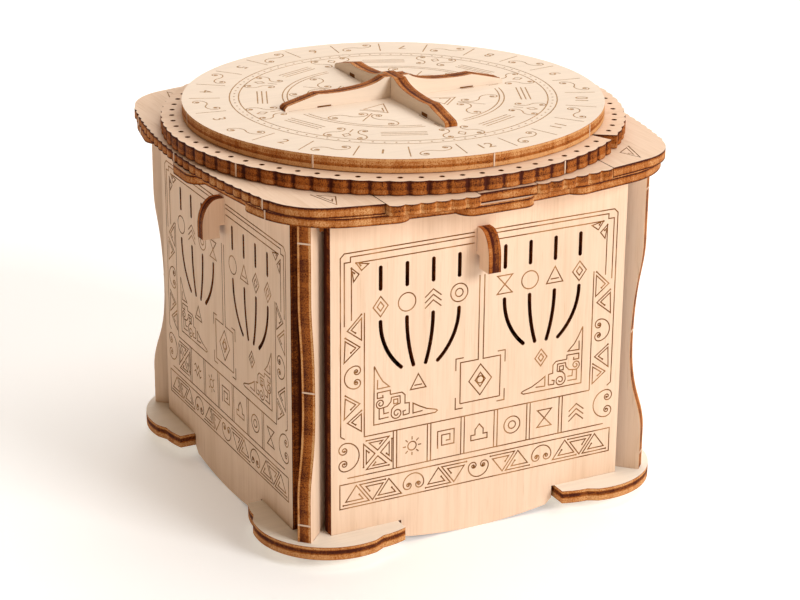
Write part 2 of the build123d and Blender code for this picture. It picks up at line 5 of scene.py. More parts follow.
import bmesh
import bpy
import numpy as np
from bpy.props import FloatProperty, FloatVectorProperty, IntProperty, PointerProperty
from bpy.types import Operator, Panel, PropertyGroup
from mathutils import Euler, Matrix, Vector
from mathutils.bvhtree import BVHTree
from mathutils.geometry import delaunay_2d_cdt


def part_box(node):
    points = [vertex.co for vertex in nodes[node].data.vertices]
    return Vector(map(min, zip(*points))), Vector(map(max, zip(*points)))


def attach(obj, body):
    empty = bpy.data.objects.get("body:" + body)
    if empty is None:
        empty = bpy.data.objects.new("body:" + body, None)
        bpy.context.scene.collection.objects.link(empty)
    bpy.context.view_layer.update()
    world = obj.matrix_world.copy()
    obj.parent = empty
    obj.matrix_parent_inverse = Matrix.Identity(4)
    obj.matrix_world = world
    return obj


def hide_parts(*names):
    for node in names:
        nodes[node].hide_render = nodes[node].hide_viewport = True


bl_info = {
    "name": "Puzzle box",
    "version": (1, 0, 0),
    "blender": (4, 5, 0),
    "location": "View3D > Sidebar > Puzzle box",
    "description": "Dresses a wooden puzzle box in cut and engraved plywood, and sets its stage",
    "category": "Object",
}

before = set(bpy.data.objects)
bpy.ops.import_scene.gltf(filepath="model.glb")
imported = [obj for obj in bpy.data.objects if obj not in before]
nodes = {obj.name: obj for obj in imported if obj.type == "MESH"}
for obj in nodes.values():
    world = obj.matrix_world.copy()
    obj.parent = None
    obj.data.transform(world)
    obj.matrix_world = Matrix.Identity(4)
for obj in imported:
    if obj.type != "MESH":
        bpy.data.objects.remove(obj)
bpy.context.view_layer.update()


def level_and_thickness(node):
    """Height of a flat piece's underside, and how thick it is."""
    low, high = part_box(node)
    return float(low[2]), float(high[2] - low[2])


mm = 0.001
sheet = level_and_thickness("dial_disc")[1]
up = Vector((0.0, 0.0, 1.0))
sides = {
    "front": Vector((0.0, -1.0, 0.0)),
    "right": Vector((1.0, 0.0, 0.0)),
    "back": Vector((0.0, 1.0, 0.0)),
    "left": Vector((-1.0, 0.0, 0.0)),
}
corners = {}
for row, hand in (("front", "left"), ("front", "right"), ("back", "right"), ("back", "left")):
    corners[f"{row}_{hand}"] = (sides[row] + sides[hand]).normalized()


def colour_setting(name, description, default):
    """A colour that the sidebar shows."""
    return FloatVectorProperty(
        name=name,
        description=description,
        subtype="COLOR",
        size=3,
        min=0.0,
        max=1.0,
        default=default,
    )


def length_setting(name, description, default):
    """A small size that the sidebar shows."""
    return FloatProperty(name=name, description=description, unit="LENGTH", min=0.05 * mm, default=default)


def power_setting(name, description, default):
    """Power of a light that the sidebar shows."""
    return FloatProperty(name=name, description=description, unit="POWER", min=0.0, default=default)


class BoxFinish(PropertyGroup):
    """Colours and small sizes of the plywood, its burnt edges and its engraving."""

    face_colour: colour_setting("Face", "Pale wood of the plywood faces", (0.845, 0.62, 0.455))
    # Painted highlight: a paler copy of the face colour for the dial and the handle fins, standing in for how
    # washed out their brightly lit faces look
    pale_colour: colour_setting("Paler highlight", "Paler sheet of the dial and its handle", (0.87, 0.72, 0.58))
    # Painted highlight: the palest copy of the face colour, so the top of the base and its feet looks brightly
    # lit
    foot_colour: colour_setting("Palest highlight", "Palest sheet, of the base and its feet", (0.96, 0.87, 0.75))
    streak_colour: colour_setting("Grain", "Darker grain that runs along the faces", (0.61, 0.385, 0.22))
    toast_colour: colour_setting("Toasted edge", "Lightest colour of the cut edges", (0.66, 0.35, 0.14))
    brown_colour: colour_setting("Browned edge", "Middle colour of the cut edges", (0.39, 0.11, 0.015))
    char_colour: colour_setting("Charred edge", "Darkest colour of the cut edges", (0.055, 0.007, 0.001))
    line_colour: colour_setting("Engraved line", "Scorched floor of the engraved lines", (0.23, 0.078, 0.008))
    faint_colour: colour_setting("Faint line", "Lighter scorch of the lines on the dial", (0.52, 0.29, 0.12))
    line_width: length_setting("Line width", "Width of an engraved line", 0.37 * mm)
    line_depth: length_setting("Line depth", "Depth of an engraved line", 0.1 * mm)
    tab_width: length_setting("Tab width", "Width of the pale marks where a piece was broken out", 0.45 * mm)
    rim_width: length_setting("Hole rim", "Width of the burnt rim round a small hole", 0.22 * mm)
    rim_steps: IntProperty(
        name="Rim steps",
        description="Corners of the burnt rim round a small hole",
        min=6,
        default=12,
    )


class BoxStage(PropertyGroup):
    """Floor, lights and camera."""

    floor_colour: colour_setting("Floor", "Colour of the plain floor", (0.93, 0.93, 0.93))
    glow_colour: colour_setting("Floor glow", "Colour of the light the floor gives off", (0.93, 0.90, 0.85))
    floor_glow: FloatProperty(
        name="Glow strength",
        description="Brightness the floor gives off itself, so that shadows stay pale",
        min=0.0,
        default=0.28,
    )
    sky_colour: colour_setting("Sky", "Colour of the even light from all round", (1.0, 0.76, 0.52))
    sky_strength: FloatProperty(
        name="Sky strength",
        description="Brightness of the even light from all round",
        min=0.0,
        default=0.22,
    )
    key_power: power_setting("Key light", "Power of the soft light from the front right", 22.6)
    top_power: power_setting("Top light", "Power of the soft light overhead", 7.0)
    back_power: power_setting("Backdrop light", "Power of the soft light on the floor behind the box", 20.0)
    lens: FloatProperty(
        name="Lens",
        description="Focal length of the camera",
        subtype="DISTANCE_CAMERA",
        min=1.0,
        default=100.24,
    )


# Drawing on a plate: a stroke is a list of points in millimetres, and a drawing is a list of strokes.


def line(*spots):
    """One open stroke through some points."""
    return [[Vector(spot) for spot in spots]]


def loop(*spots):
    """One closed stroke through some points."""
    return line(*spots, spots[0])


def arc(middle, radius, first=0.0, last=360.0, step=12.0):
    """A round stroke from one angle to another."""
    count = max(2, round(abs(last - first) / step))
    spots = []
    for index in range(count + 1):
        angle = math.radians(first + (last - first) * index / count)
        spots.append((middle[0] + radius * math.cos(angle), middle[1] + radius * math.sin(angle)))
    return line(*spots)


def placed(drawing, middle=(0.0, 0.0), size=1.0, turn=0.0):
    """A drawing made larger or smaller, turned and moved."""
    spin = Matrix.Rotation(math.radians(turn), 2)
    return [[spin @ spot * size + Vector(middle) for spot in stroke] for stroke in drawing]


def stacked(drawing, lifts):
    """Copies of a drawing over one another."""
    copies = []
    for lift in lifts:
        copies += placed(drawing, (0.0, lift))
    return copies


def turned_round(drawing, count, first=0.0):
    """Copies of a drawing set evenly round the middle."""
    copies = []
    for index in range(count):
        copies += placed(drawing, turn=first + 360 * index / count)
    return copies


def mirrored(drawing, ways=(-1, 1)):
    """A drawing with its mirror image: beside it, or above it where the ways say so."""
    return drawing + [[Vector((spot.x * ways[0], spot.y * ways[1])) for spot in stroke] for stroke in drawing]


def with_dots(drawing, radius=0.2):
    """A drawing with a dot at both ends of each stroke, where the burning dwelt."""
    dots = []
    for stroke in drawing:
        for end in (stroke[0], stroke[-1]):
            dots += arc(end, radius, step=60)
    return drawing + dots


def curl(turns=1.5, hand=1):
    """A spiral that opens out from its middle to a radius of one, left-handed or right-handed."""
    steps_in_turn = 20
    eye = 0.2
    count = round(turns * steps_in_turn)
    spots = []
    for index in range(count + 1):
        angle = hand * math.tau * turns * index / count
        radius = eye + (1 - eye) * index / count
        spots.append((radius * math.cos(angle), radius * math.sin(angle)))
    return line(*spots)


def half_scroll():
    """A bowed back that sets out level and winds up into a curl of nearly two turns."""
    step = math.radians(11)
    bowed = math.radians(62)
    closing = math.radians(105)
    curled = math.radians(690)
    back_radius = 1.05
    curl_radius = 0.5
    tightening = 0.19
    half = []
    spot = Vector((0.0, 0.0))
    turned = 0.0
    while turned < curled:
        half.append(spot.copy())
        bend = back_radius
        if turned > closing:
            bend = curl_radius * math.exp(-tightening * (turned - closing))
        elif turned > bowed:
            bend += (curl_radius - back_radius) * (turned - bowed) / (closing - bowed)
        heading = Vector((math.cos(turned + step / 2), math.sin(turned + step / 2)))
        spot += heading * bend * step
        turned += step
    return half


def scroll(middle, size, turn):
    """Two curls joined by a bowed back that lies along the bottom, with a dot in each curl."""
    half = half_scroll()
    bowed = [[Vector((-spot.x, spot.y)) for spot in reversed(half[1:])] + half]
    return with_dots(placed(bowed, middle, size, turn))


def wave_scroll(middle, size, turn):
    """Two curls that wind opposite ways, joined by one bent back, with a dot in each curl."""
    half = half_scroll()
    bent = [[-spot for spot in reversed(half[1:])] + half]
    return with_dots(placed(bent, middle, size, turn))


def cross(first, second):
    """Twice the area between two flat vectors, above nought where the second lies to the left."""
    return first.x * second.y - first.y * second.x


def fret(first, second, third, gap=0.95, sides_drawn=5, hook=0.55):
    """A line that winds into a triangle, a gap further in on each turn, and ends in a short hook."""
    tips = [Vector(first), Vector(second), Vector(third)]
    inward = 1.0 if cross(tips[1] - tips[0], tips[2] - tips[0]) > 0 else -1.0

    def side(index):
        """Where a side of the winding line sets out, and its heading."""
        start = tips[index % 3]
        run = (tips[(index + 1) % 3] - start).normalized()
        square = Vector((-run.y, run.x)) * inward
        return start + square * gap * (index // 3), run

    spots = [tips[0]]
    for index in range(sides_drawn):
        start, run = side(index)
        next_start, next_run = side(index + 1)
        spots.append(start + run * cross(next_start - start, next_run) / cross(run, next_run))
    spots[-1] = spots[-2].lerp(spots[-1], hook)
    return with_dots([spots], 0.12)


# Plain signs, about two units wide and two high
signs = {
    "ring": arc((0, 0), 1.0, step=15),
    "eye": arc((0, 0), 1.0, step=15) + arc((0, 0), 0.45, step=30),
    "diamond": (
        loop((0, 1.1), (0.85, 0), (0, -1.1), (-0.85, 0)) + loop((0, 0.5), (0.38, 0), (0, -0.5), (-0.38, 0))
    ),
    "arrow": loop((0, 1.0), (1.0, -0.8), (-1.0, -0.8)) + line((-0.5, -0.35), (0.5, -0.35)),
    "chevrons": stacked(line((-0.95, -0.35), (0, 0.45), (0.95, -0.35)), (-0.75, -0.15, 0.45)),
    "waves": stacked(line((-1, 0), (-0.6, 0.3), (-0.2, -0.3), (0.2, 0.3), (0.6, -0.3), (1, 0)), (-0.4, 0.4)),
    "meander": line(
        (-1, -1), (-1, 1), (1, 1), (1, -0.7), (-0.5, -0.7),
        (-0.5, 0.5), (0.5, 0.5), (0.5, -0.2), (0, -0.2),
    ),
    "sun": arc((0, 0), 0.5, step=20) + turned_round(line((0.72, 0), (1.1, 0)), 8),
    "house": loop(
        (-1, -0.9), (-1, -0.3), (-0.5, -0.3), (-0.5, 0.3), (0, 0.9),
        (0.5, 0.3), (0.5, -0.3), (1, -0.3), (1, -0.9),
    ),
    "hourglass": loop((-0.9, 1), (0.9, 1), (-0.9, -1), (0.9, -1)),
}
row_signs = ("diamond", "ring", "chevrons", "eye", "hourglass", "ring", "arrow", "diamond")
cell_signs = ("waves", "sun", "meander", "house", "eye", "hourglass", "chevrons")

# Places of the engraving on a side panel, in millimetres along it and up from the floor
border_half = 44.7
border_head = 92.5
border_foot = 37.8
knob_gap = 2.8
slot_reaches = [7.4 + 8.3 * index for index in range(4)]
slot_spots = [-reach for reach in reversed(slot_reaches)] + slot_reaches
slot_sign_level = 75.2
field_half = 37.3
field_sign_spot = 20.2
field_sign_level = 50.2
square_half = 6.56
square_head = 53.5
square_foot = 40.7
square_level = (square_head + square_foot) / 2
cell_count = 7
cell_pitch = 11.0
cell_wall = 1.1
cell_row_half = 42.6
cell_head = 36.5
cell_foot = 24.6
cell_sign_level = 30.6
band_half = 45.0
band_head = 21.8
band_foot = 16.2
band_margin = 1.0
band_scroll = 3.2


def panel_border():
    """Left half of the border: lines under the lid, frets and scrolls down the side."""
    outer = (-border_half, border_foot)
    drawing = line(outer, (-border_half, 91.3), (-43.5, border_head), (-knob_gap, border_head))
    drawing += line((-43.5, 71.0), (-43.5, 89.8), (-41.6, 89.8), (-41.6, 91.3), (-knob_gap, 91.3))
    drawing += line((-39.9, 89.3), (-knob_gap, 89.3))
    drawing += line((-41.3, 72.5), (-41.3, 88.0))
    drawing += fret((-39.9, 89.3), (-38.2, 86.9), (-36.0, 88.5), 0.6, 4)
    drawing += fret((-41.3, 88.0), (-39.0, 85.9), (-40.6, 83.9), 0.6, 4)
    drawing += fret((-38.2, 73.9), (-42.6, 69.6), (-38.2, 66.2), 0.8)
    drawing += fret((-43.2, 67.6), (-38.7, 64.2), (-43.6, 60.2), 0.8)
    drawing += scroll((-43.5, 55.3), 3.3, -90)
    drawing += fret((-43.2, 50.2), (-38.7, 47.0), (-43.6, 43.0), 0.8)
    drawing += fret((-38.2, 44.8), (-42.6, 41.7), (-38.2, 38.4), 0.8)
    drawing += line((-field_half, cell_head), (-field_half, 74.2))
    drawing += scroll((-38.9, 31.2), 4.2, 90)
    drawing += line(outer, (-43.4, 36.9))
    return drawing


def panel_bracket():
    """Left half of the lower field: a stepped corner bracket with two curls and a square."""
    drawing = line((-34.2, 57.5), (-34.3, 39.5), (-14.6, 39.6), (-13.9, 40.1), (-14.3, 40.5))
    drawing += line((-14.3, 40.5), (-17.4, 41.4), (-19.7, 42.6), (-21.8, 43.9), (-21.8, 40.8), (-18.7, 41.0))
    drawing += line((-34.2, 57.5), (-32.7, 54.5), (-31.5, 52.5), (-29.4, 50.5), (-33.2, 50.4), (-33.1, 53.2))
    drawing += line((-31.5, 48.3), (-31.4, 47.5), (-33.2, 47.5), (-33.2, 49.2), (-29.1, 49.3), (-29.1, 48.0))
    drawing += line((-29.1, 48.0), (-25.4, 48.0), (-24.4, 47.0), (-24.4, 44.4), (-23.0, 44.3), (-23.0, 40.9))
    drawing += line((-23.0, 40.9), (-24.9, 40.8), (-25.0, 42.0), (-24.1, 42.2))
    drawing += placed(curl(), (-32.2, 45.7), 1.5, 90)
    drawing += placed(curl(hand=-1), (-27.0, 41.8), 1.8, 0)
    drawing += line((-32.2, 44.2), (-30.0, 44.5), (-28.9, 45.7), (-28.7, 47.0), (-26.0, 47.0), (-25.9, 44.7))
    drawing += line((-25.9, 44.7), (-27.7, 44.3), (-28.6, 43.3), (-28.8, 41.8))
    drawing += loop((-28.0, 46.2), (-26.7, 46.2), (-26.7, 44.9), (-28.0, 44.9))
    drawing += line((-32.6, 44.1), (-32.6, 41.0), (-29.6, 41.1))
    drawing += line((-31.2, 44.2), (-31.1, 42.4), (-29.5, 42.5))
    return drawing


def panel_band():
    """Left half of the lowest band: frets that stand and hang in turn, with a scroll between them."""
    width = 8.2
    low = band_foot - band_margin
    high = band_head + band_margin
    drawing = line((0.0, low), (-band_half, low), (-band_half, high), (0.0, high))
    for start in (-43.9, -33.5, -17.4):
        drawing += fret((start, band_foot), (start + width, band_foot), (start + width / 2, band_head), 1.0)
    for start in (-38.7, -12.2):
        drawing += fret((start + width, band_head), (start, band_head), (start + width / 2, band_foot), 1.0)
    drawing += scroll((-21.4, band_head), band_scroll, 180)
    return drawing


def panel_square():
    """Left half of the stem that runs down from the knob to a square with a bracket at each corner."""
    stem_half = 0.8
    corner = (-square_half, square_head)
    drawing = line((-stem_half, 79.4), (-stem_half, square_head), corner, (-square_half, square_foot))
    drawing += line((-5.6, 54.9), (-8.08, 54.9), (-8.08, 51.2))
    drawing += line((-5.6, 39.2), (-8.08, 39.2), (-8.08, 42.8))
    return drawing


def panel_cells(shift):
    """Row of cells between double walls: crossed frets in the first, and signs that differ by side."""
    drawing = line((-field_half, cell_head), (field_half, cell_head))
    drawing += line((-cell_row_half, cell_foot), (cell_row_half, cell_foot))
    for index in range(cell_count - 1):
        middle = cell_pitch * (index + 1 - cell_count / 2)
        for wall in (middle - cell_wall / 2, middle + cell_wall / 2):
            drawing += line((wall, cell_foot), (wall, cell_head))
    for index in range(cell_count):
        middle = (cell_pitch * (index - cell_count // 2), cell_sign_level)
        if index == 0:
            frets = turned_round(fret((-3.6, 4.5), (3.6, 4.5), (0.0, 0.9), 0.85), 4)
            drawing += placed(frets, middle)
        else:
            drawing += placed(signs[cell_signs[(index + 2 * shift) % len(cell_signs)]], middle, 2.7)
    return drawing


def panel_drawing(shift):
    """Lines burnt into a side panel, seen from outside: along the panel, and up from the floor."""
    drawing = mirrored(panel_border() + panel_bracket() + panel_band())
    drawing += scroll((0.0, band_foot), band_scroll, 0)
    for index, spot in enumerate(slot_spots):
        sign = signs[row_signs[(index + 3 * shift) % len(row_signs)]]
        drawing += placed(sign, (spot, slot_sign_level), 2.75)
    drawing += placed(signs["arrow"], (-field_sign_spot, field_sign_level), 2.5)
    drawing += placed(signs["diamond"], (field_sign_spot, field_sign_level), 2.4)
    drawing += mirrored(panel_square())
    drawing += line((-square_half, square_foot), (square_half, square_foot))
    drawing += placed(signs["diamond"], (0.0, square_level), 4.4)
    drawing += arc((0.0, square_level), 1.1, step=30)
    return drawing + panel_cells(shift)


def dial_drawing():
    """Lines burnt into the dial's top: a rim of scrolls, a dotted band, bars and frets."""
    dotted_band = (46.0, 48.7)
    drawing = []
    for radius in dotted_band:
        drawing += arc((0, 0), radius, step=4)
    drawing += turned_round(arc((sum(dotted_band) / 2, 0), 0.14, step=60), 90)
    # Rim: a line on either side of each number and each scroll
    drawing += turned_round(line((51.5, 0), (60.6, 0)), 24, 7.5)
    drawing += turned_round(wave_scroll((56.0, 0), 3.3, 60), 12, 15)
    # Eight clusters of scrolls, with three bars between each two
    cluster = mirrored(wave_scroll((41.0, -4.2), 2.7, 105), (1, -1))
    cluster += loop((44.2, 0), (42.6, 1.2), (41.0, 0), (42.6, -1.2)) + line((37.0, 0), (40.0, 0))
    drawing += turned_round(cluster, 8)
    for reach in (37.6, 39.0, 40.4):
        drawing += turned_round(line((reach, -6.6), (reach, 6.6)), 8, 22.5)
    # Short lines beside the fins, and arcs and scrolls between them
    drawing += turned_round(line((21.6, -2.7), (25.9, -2.7)) + line((31.0, -2.7), (34.2, -2.7)), 4)
    drawing += turned_round(arc((0, 0), 33.0, 11, 79, 5) + arc((0, 0), 31.6, 12, 78, 5), 4)
    quarter = mirrored(wave_scroll((25.0, -5.6), 3.6, 70), (1, -1))
    quarter += fret((18.0, -4.2), (18.0, 4.2), (9.6, 0), 1.0) + line((20.0, 0), (28.5, 0))
    drawing += turned_round(quarter, 4, 45)
    return drawing


def lid_drawing(hand):
    """A small fret near each end of a lid plate."""
    drawing = []
    for end in (-1, 1):
        drawing += fret((50.8 * hand, 50.6 * end), (48.1 * hand, 61.0 * end), (45.4 * hand, 54.6 * end), 1.0)
    return drawing


def ribbon(stroke, width):
    """Four-cornered patches that follow a stroke, joined at mitred corners."""
    same_spot = 1e-6
    hairpin = 0.3
    sharpest_mitre = 0.4
    closed = (stroke[0] - stroke[-1]).length < same_spot
    spots = stroke[:-1] if closed else stroke
    count = len(spots)
    rims = []
    for index, here in enumerate(spots):
        before = spots[index - 1] if closed or index else None
        after = spots[(index + 1) % count] if closed or index < count - 1 else None
        arriving = (here - before).normalized() if before else (after - here).normalized()
        leaving = (after - here).normalized() if after else arriving
        bend = arriving + leaving
        run = bend.normalized() if bend.length > hairpin else leaving
        square = Vector((-run.y, run.x))
        reach = width / 2 / max(sharpest_mitre, square.dot(Vector((-arriving.y, arriving.x))))
        rims.append((here + square * reach, here - square * reach))
    patches = []
    for index in range(count if closed else count - 1):
        start = rims[index]
        end = rims[(index + 1) % count]
        patches.append([start[1], end[1], end[0], start[0]])
    return patches


def strokes_to_patches(drawing, width):
    """All the patches of a drawing."""
    patches = []
    for stroke in drawing:
        patches += ribbon(stroke, width / mm)
    return patches


def around(face):
    """Each corner of a face with the next one."""
    return zip(face, face[1:] + face[:1])


def number_patches(number, height, middle, turn):
    """Small filled patches of a plain number."""
    curve = bpy.data.curves.new("number", "FONT")
    curve.body = str(number)
    curve.align_x = "CENTER"
    curve.align_y = "CENTER"
    curve.size = height
    curve.resolution_u = 3
    holder = bpy.data.objects.new("number", curve)
    bpy.context.scene.collection.objects.link(holder)
    bpy.context.view_layer.update()
    mesh = bpy.data.meshes.new_from_object(holder)
    spin = Matrix.Rotation(math.radians(turn), 2)
    spots = [spin @ vertex.co.xy + Vector(middle) for vertex in mesh.vertices]
    patches = []
    for polygon in mesh.polygons:
        patch = [spots[index] for index in polygon.vertices]
        spread = sum(cross(a, b) for a, b in around(patch))
        patches.append(patch if spread > 0 else patch[::-1])
    bpy.data.objects.remove(holder)
    bpy.data.curves.remove(curve)
    bpy.data.meshes.remove(mesh)
    return patches


def dial_numbers():
    """Patches of the numbers 1 to 12 round the dial, with their heads towards its middle."""
    radius = 56.2
    height = 5.6
    patches = []
    for number in range(1, 13):
        turn = -30 * number
        angle = math.radians(turn - 90)
        middle = (radius * math.cos(angle), radius * math.sin(angle))
        patches += number_patches(number, height, middle, turn)
    return patches


def inside_rim(spots, rim):
    """Which of some flat points lie inside the closed edges of a plate."""
    batch = 2000
    start_x, start_y, end_x, end_y = rim.T
    rise = np.where(end_y == start_y, 1e-12, end_y - start_y)
    result = np.zeros(len(spots), dtype=bool)
    for first in range(0, len(spots), batch):
        x = spots[first : first + batch, 0:1]
        y = spots[first : first + batch, 1:2]
        spans = (start_y > y) != (end_y > y)
        crossed = spans & (x < (end_x - start_x) * (y - start_y) / rise + start_x)
        result[first : first + batch] = crossed.sum(axis=1) % 2 == 1
    return result


def inside_patches(spots, patches):
    """Which of some flat points lie on one of the patches."""
    order = np.argsort(spots[:, 0])
    sorted_x = spots[order, 0]
    result = np.zeros(len(spots), dtype=bool)
    for patch in patches:
        for second in range(1, len(patch) - 1):
            tips = np.array([patch[0], patch[second], patch[second + 1]])
            first = np.searchsorted(sorted_x, tips[:, 0].min())
            last = np.searchsorted(sorted_x, tips[:, 0].max())
            near = order[first:last]
            turns = []
            for start, end in zip(tips, np.roll(tips, -1, axis=0)):
                away = spots[near] - start
                turns.append((end[0] - start[0]) * away[:, 1] - (end[1] - start[1]) * away[:, 0])
            turns = np.array(turns)
            result[near] |= (turns > 0).all(axis=0) | (turns < 0).all(axis=0)
    return result


def opened_plate(node, outward):
    """A copy of a plate without the flat face that looks outward, that face's level, and its rim."""
    merged = 2e-6
    level_slack = 1e-5
    facing = 0.99
    shell = bmesh.new()
    shell.from_mesh(nodes[node].data)
    bmesh.ops.remove_doubles(shell, verts=shell.verts, dist=merged)
    level = max(vertex.co.dot(outward) for vertex in shell.verts)
    skin = []
    for face in shell.faces:
        on_top = face.calc_center_median().dot(outward) > level - level_slack
        if on_top and face.normal.dot(outward) > facing:
            skin.append(face)
    if not skin:
        raise RuntimeError(f"{node} has no flat face to engrave")
    bmesh.ops.delete(shell, geom=skin, context="FACES")
    return shell, level, [edge for edge in shell.edges if edge.is_boundary]


def sunk_triangles(spots, triangles, rim_lines, patches):
    """Which triangles belong to the plate, which of them are sunk, and the triangle at each edge."""
    middles = np.array([[sum(spots[i][k] for i in t) / 3 for k in (0, 1)] for t in triangles])
    kept = inside_rim(middles, rim_lines)
    sunk = inside_patches(middles, patches) & kept
    beside = {edge: index for index, triangle in enumerate(triangles) for edge in around(triangle)}
    # A patch that runs out at the edge of the plate stays flat there
    for index, triangle in enumerate(triangles):
        for a, b in around(triangle):
            if sunk[index] and not ((b, a) in beside and kept[beside[b, a]]):
                sunk[index] = False
    return kept.tolist(), sunk.tolist(), beside


def engrave(node, name, outward, along, patches, depth, wood, scorch):
    """Copy a plate and sink patches into the flat face that looks outward."""
    upward = outward.cross(along)
    shell, level, rim = opened_plate(node, outward)
    rim_corners = list(dict.fromkeys(vertex for edge in rim for vertex in edge.verts))
    place = {vertex: index for index, vertex in enumerate(rim_corners)}
    flat = [Vector((vertex.co.dot(along) / mm, vertex.co.dot(upward) / mm)) for vertex in rim_corners]
    pairs = [(place[edge.verts[0]], place[edge.verts[1]]) for edge in rim]
    rim_lines = np.array([[*flat[first], *flat[second]] for first, second in pairs])
    for patch in patches:
        first = len(flat)
        pairs += [(first + index, first + (index + 1) % len(patch)) for index in range(len(patch))]
        flat += patch
    nearest = 1e-5
    spots, _, triangles, sources, _, _ = delaunay_2d_cdt(flat, pairs, [], 0, nearest)
    kept, sunk, beside = sunk_triangles(spots, triangles, rim_lines, patches)
    made = {}

    def corner(index, lowered):
        """The shell's vertex at a spot, on the face or on the floor of a line."""
        if (index, lowered) not in made:
            on_rim = [source for source in sources[index] if source < len(rim_corners)]
            if on_rim and not lowered:
                made[index, lowered] = rim_corners[on_rim[0]]
            else:
                rise = level - depth if lowered else level
                spot = along * spots[index].x * mm + upward * spots[index].y * mm + outward * rise
                made[index, lowered] = shell.verts.new(spot)
        return made[index, lowered]

    for index, triangle in enumerate(triangles):
        if not kept[index]:
            continue
        face = shell.faces.new([corner(spot, sunk[index]) for spot in triangle])
        face.material_index = int(sunk[index])
        if sunk[index]:
            continue
        for a, b in around(triangle):
            other = beside.get((b, a))
            if other is not None and sunk[other]:
                wall = [corner(a, False), corner(a, True), corner(b, True), corner(b, False)]
                shell.faces.new(wall).material_index = 1
    shell.normal_update()
    mesh = bpy.data.meshes.new(name)
    shell.to_mesh(mesh)
    shell.free()
    mesh.materials.append(wood)
    mesh.materials.append(scorch)
    sharp_bend = math.radians(30)
    mesh.set_sharp_from_angle(angle=sharp_bend)
    for polygon in mesh.polygons:
        on_edge = abs(polygon.normal.dot(outward)) < 0.9
        polygon.use_smooth = on_edge and polygon.material_index == 0
    return new_piece(name, mesh)


def new_piece(name, mesh):
    """An object at the origin that shows a mesh."""
    piece = bpy.data.objects.new(name, mesh)
    bpy.context.scene.collection.objects.link(piece)
    return piece


def dress(node, material):
    """Give a carried-over piece its finish."""
    mesh = nodes[node].data
    mesh.materials.clear()
    mesh.materials.append(material)


def wire(tree, made, sockets):
    """Set or link some inputs of a node."""
    for key, value in sockets.items():
        if isinstance(value, bpy.types.NodeSocket):
            tree.links.new(value, made.inputs[key])
        else:
            made.inputs[key].default_value = value


def add(tree, kind, sockets=None, **options):
    """Add a node, set its options, set or link its inputs, and give back its outputs."""
    made = tree.nodes.new(kind)
    for option, value in options.items():
        setattr(made, option, value)
    wire(tree, made, sockets or {})
    return made.outputs


def reckon(tree, operation, first, second=0.0, third=0.0):
    """One step of arithmetic on values."""
    return add(tree, "ShaderNodeMath", {0: first, 1: second, 2: third}, operation=operation)[0]


def reckon_vector(tree, operation, first, second):
    """One step of arithmetic on vectors."""
    return add(tree, "ShaderNodeVectorMath", {0: first, 1: second}, operation=operation)[0]


def scaled(tree, vector, share):
    """A vector made longer or shorter."""
    return add(tree, "ShaderNodeVectorMath", {0: vector, "Scale": share}, operation="SCALE")[0]


def reach_along(tree, vector, axis):
    """How far a vector reaches along an axis."""
    return add(tree, "ShaderNodeVectorMath", {0: vector, 1: axis}, operation="DOT_PRODUCT")["Value"]


def summed(tree, base, layers):
    """A value with weighted layers added to it."""
    for layer, weight in layers:
        base = reckon(tree, "MULTIPLY_ADD", layer, weight, base)
    return base


def blend_colours(tree, share, first, second):
    """A colour between two colours."""
    return add(tree, "ShaderNodeMix", {0: share, 6: first, 7: second}, data_type="RGBA")[2]


def mottle(tree, vector, scale, detail=2.0, rough=0.5):
    """Soft uneven patches over a surface."""
    sockets = {"Vector": vector, "Scale": scale, "Detail": detail, "Roughness": rough}
    return add(tree, "ShaderNodeTexNoise", sockets)[0]


def ease(tree, value, low, high, start=0.0, end=1.0):
    """A value eased from start to end while another goes from low to high."""
    sockets = {0: value, 1: low, 2: high, 3: start, 4: end}
    return add(tree, "ShaderNodeMapRange", sockets, interpolation_type="SMOOTHSTEP")[0]


def bump(tree, height, strength):
    """A surface that follows a height."""
    return add(tree, "ShaderNodeBump", {"Strength": strength, "Distance": 0.12 * mm, "Height": height})[0]


def new_group(name, inputs, outputs, kind="ShaderNodeTree"):
    """An empty group with named inputs and outputs: the group, what it is given, and its last node."""
    group = bpy.data.node_groups.new(name, kind)
    for way, labels in (("INPUT", inputs), ("OUTPUT", outputs)):
        for label, held in labels.items():
            group.interface.new_socket(label, in_out=way, socket_type=f"NodeSocket{held}")
    return group, group.nodes.new("NodeGroupInput").outputs, group.nodes.new("NodeGroupOutput")


def wood_grain_group():
    """Pale veneer with fine grain along the third axis: its colour, its roughness and its height."""
    if "wood grain" in bpy.data.node_groups:
        return bpy.data.node_groups["wood grain"]
    inputs = {"Vector": "Vector", "Face": "Color", "Streak": "Color"}
    outputs = {"Colour": "Color", "Roughness": "Float", "Height": "Float"}
    group, given, result = new_group("wood grain", inputs, outputs)

    def drawn_out(along, scale, detail=2.0, rough=0.5):
        """Uneven patches drawn out along the grain, the more the smaller their share along it."""
        vector = reckon_vector(group, "MULTIPLY", given["Vector"], (1.0, 1.0, along))
        return mottle(group, vector, scale, detail, rough)

    broad = drawn_out(along=0.3, scale=34.0)
    rays = drawn_out(along=0.035, scale=420.0, detail=4.0, rough=0.6)
    fibres = drawn_out(along=0.03, scale=2300.0)
    pores = ease(group, drawn_out(along=0.06, scale=1500.0), 0.62, 0.74)
    layers = (
        (ease(group, rays, 0.38, 0.75), 0.26),
        (ease(group, broad, 0.35, 0.7), 0.15),
        (ease(group, fibres, 0.45, 0.8), 0.22),
        (pores, 0.28),
    )
    share = add(group, "ShaderNodeClamp", {0: summed(group, -0.03, layers)})[0]
    looks = {
        "Colour": blend_colours(group, share, given["Face"], given["Streak"]),
        "Roughness": ease(group, fibres, 0.3, 0.7, 0.52, 0.68),
        "Height": reckon(group, "SUBTRACT", fibres, pores),
    }
    wire(group, result, looks)
    return group


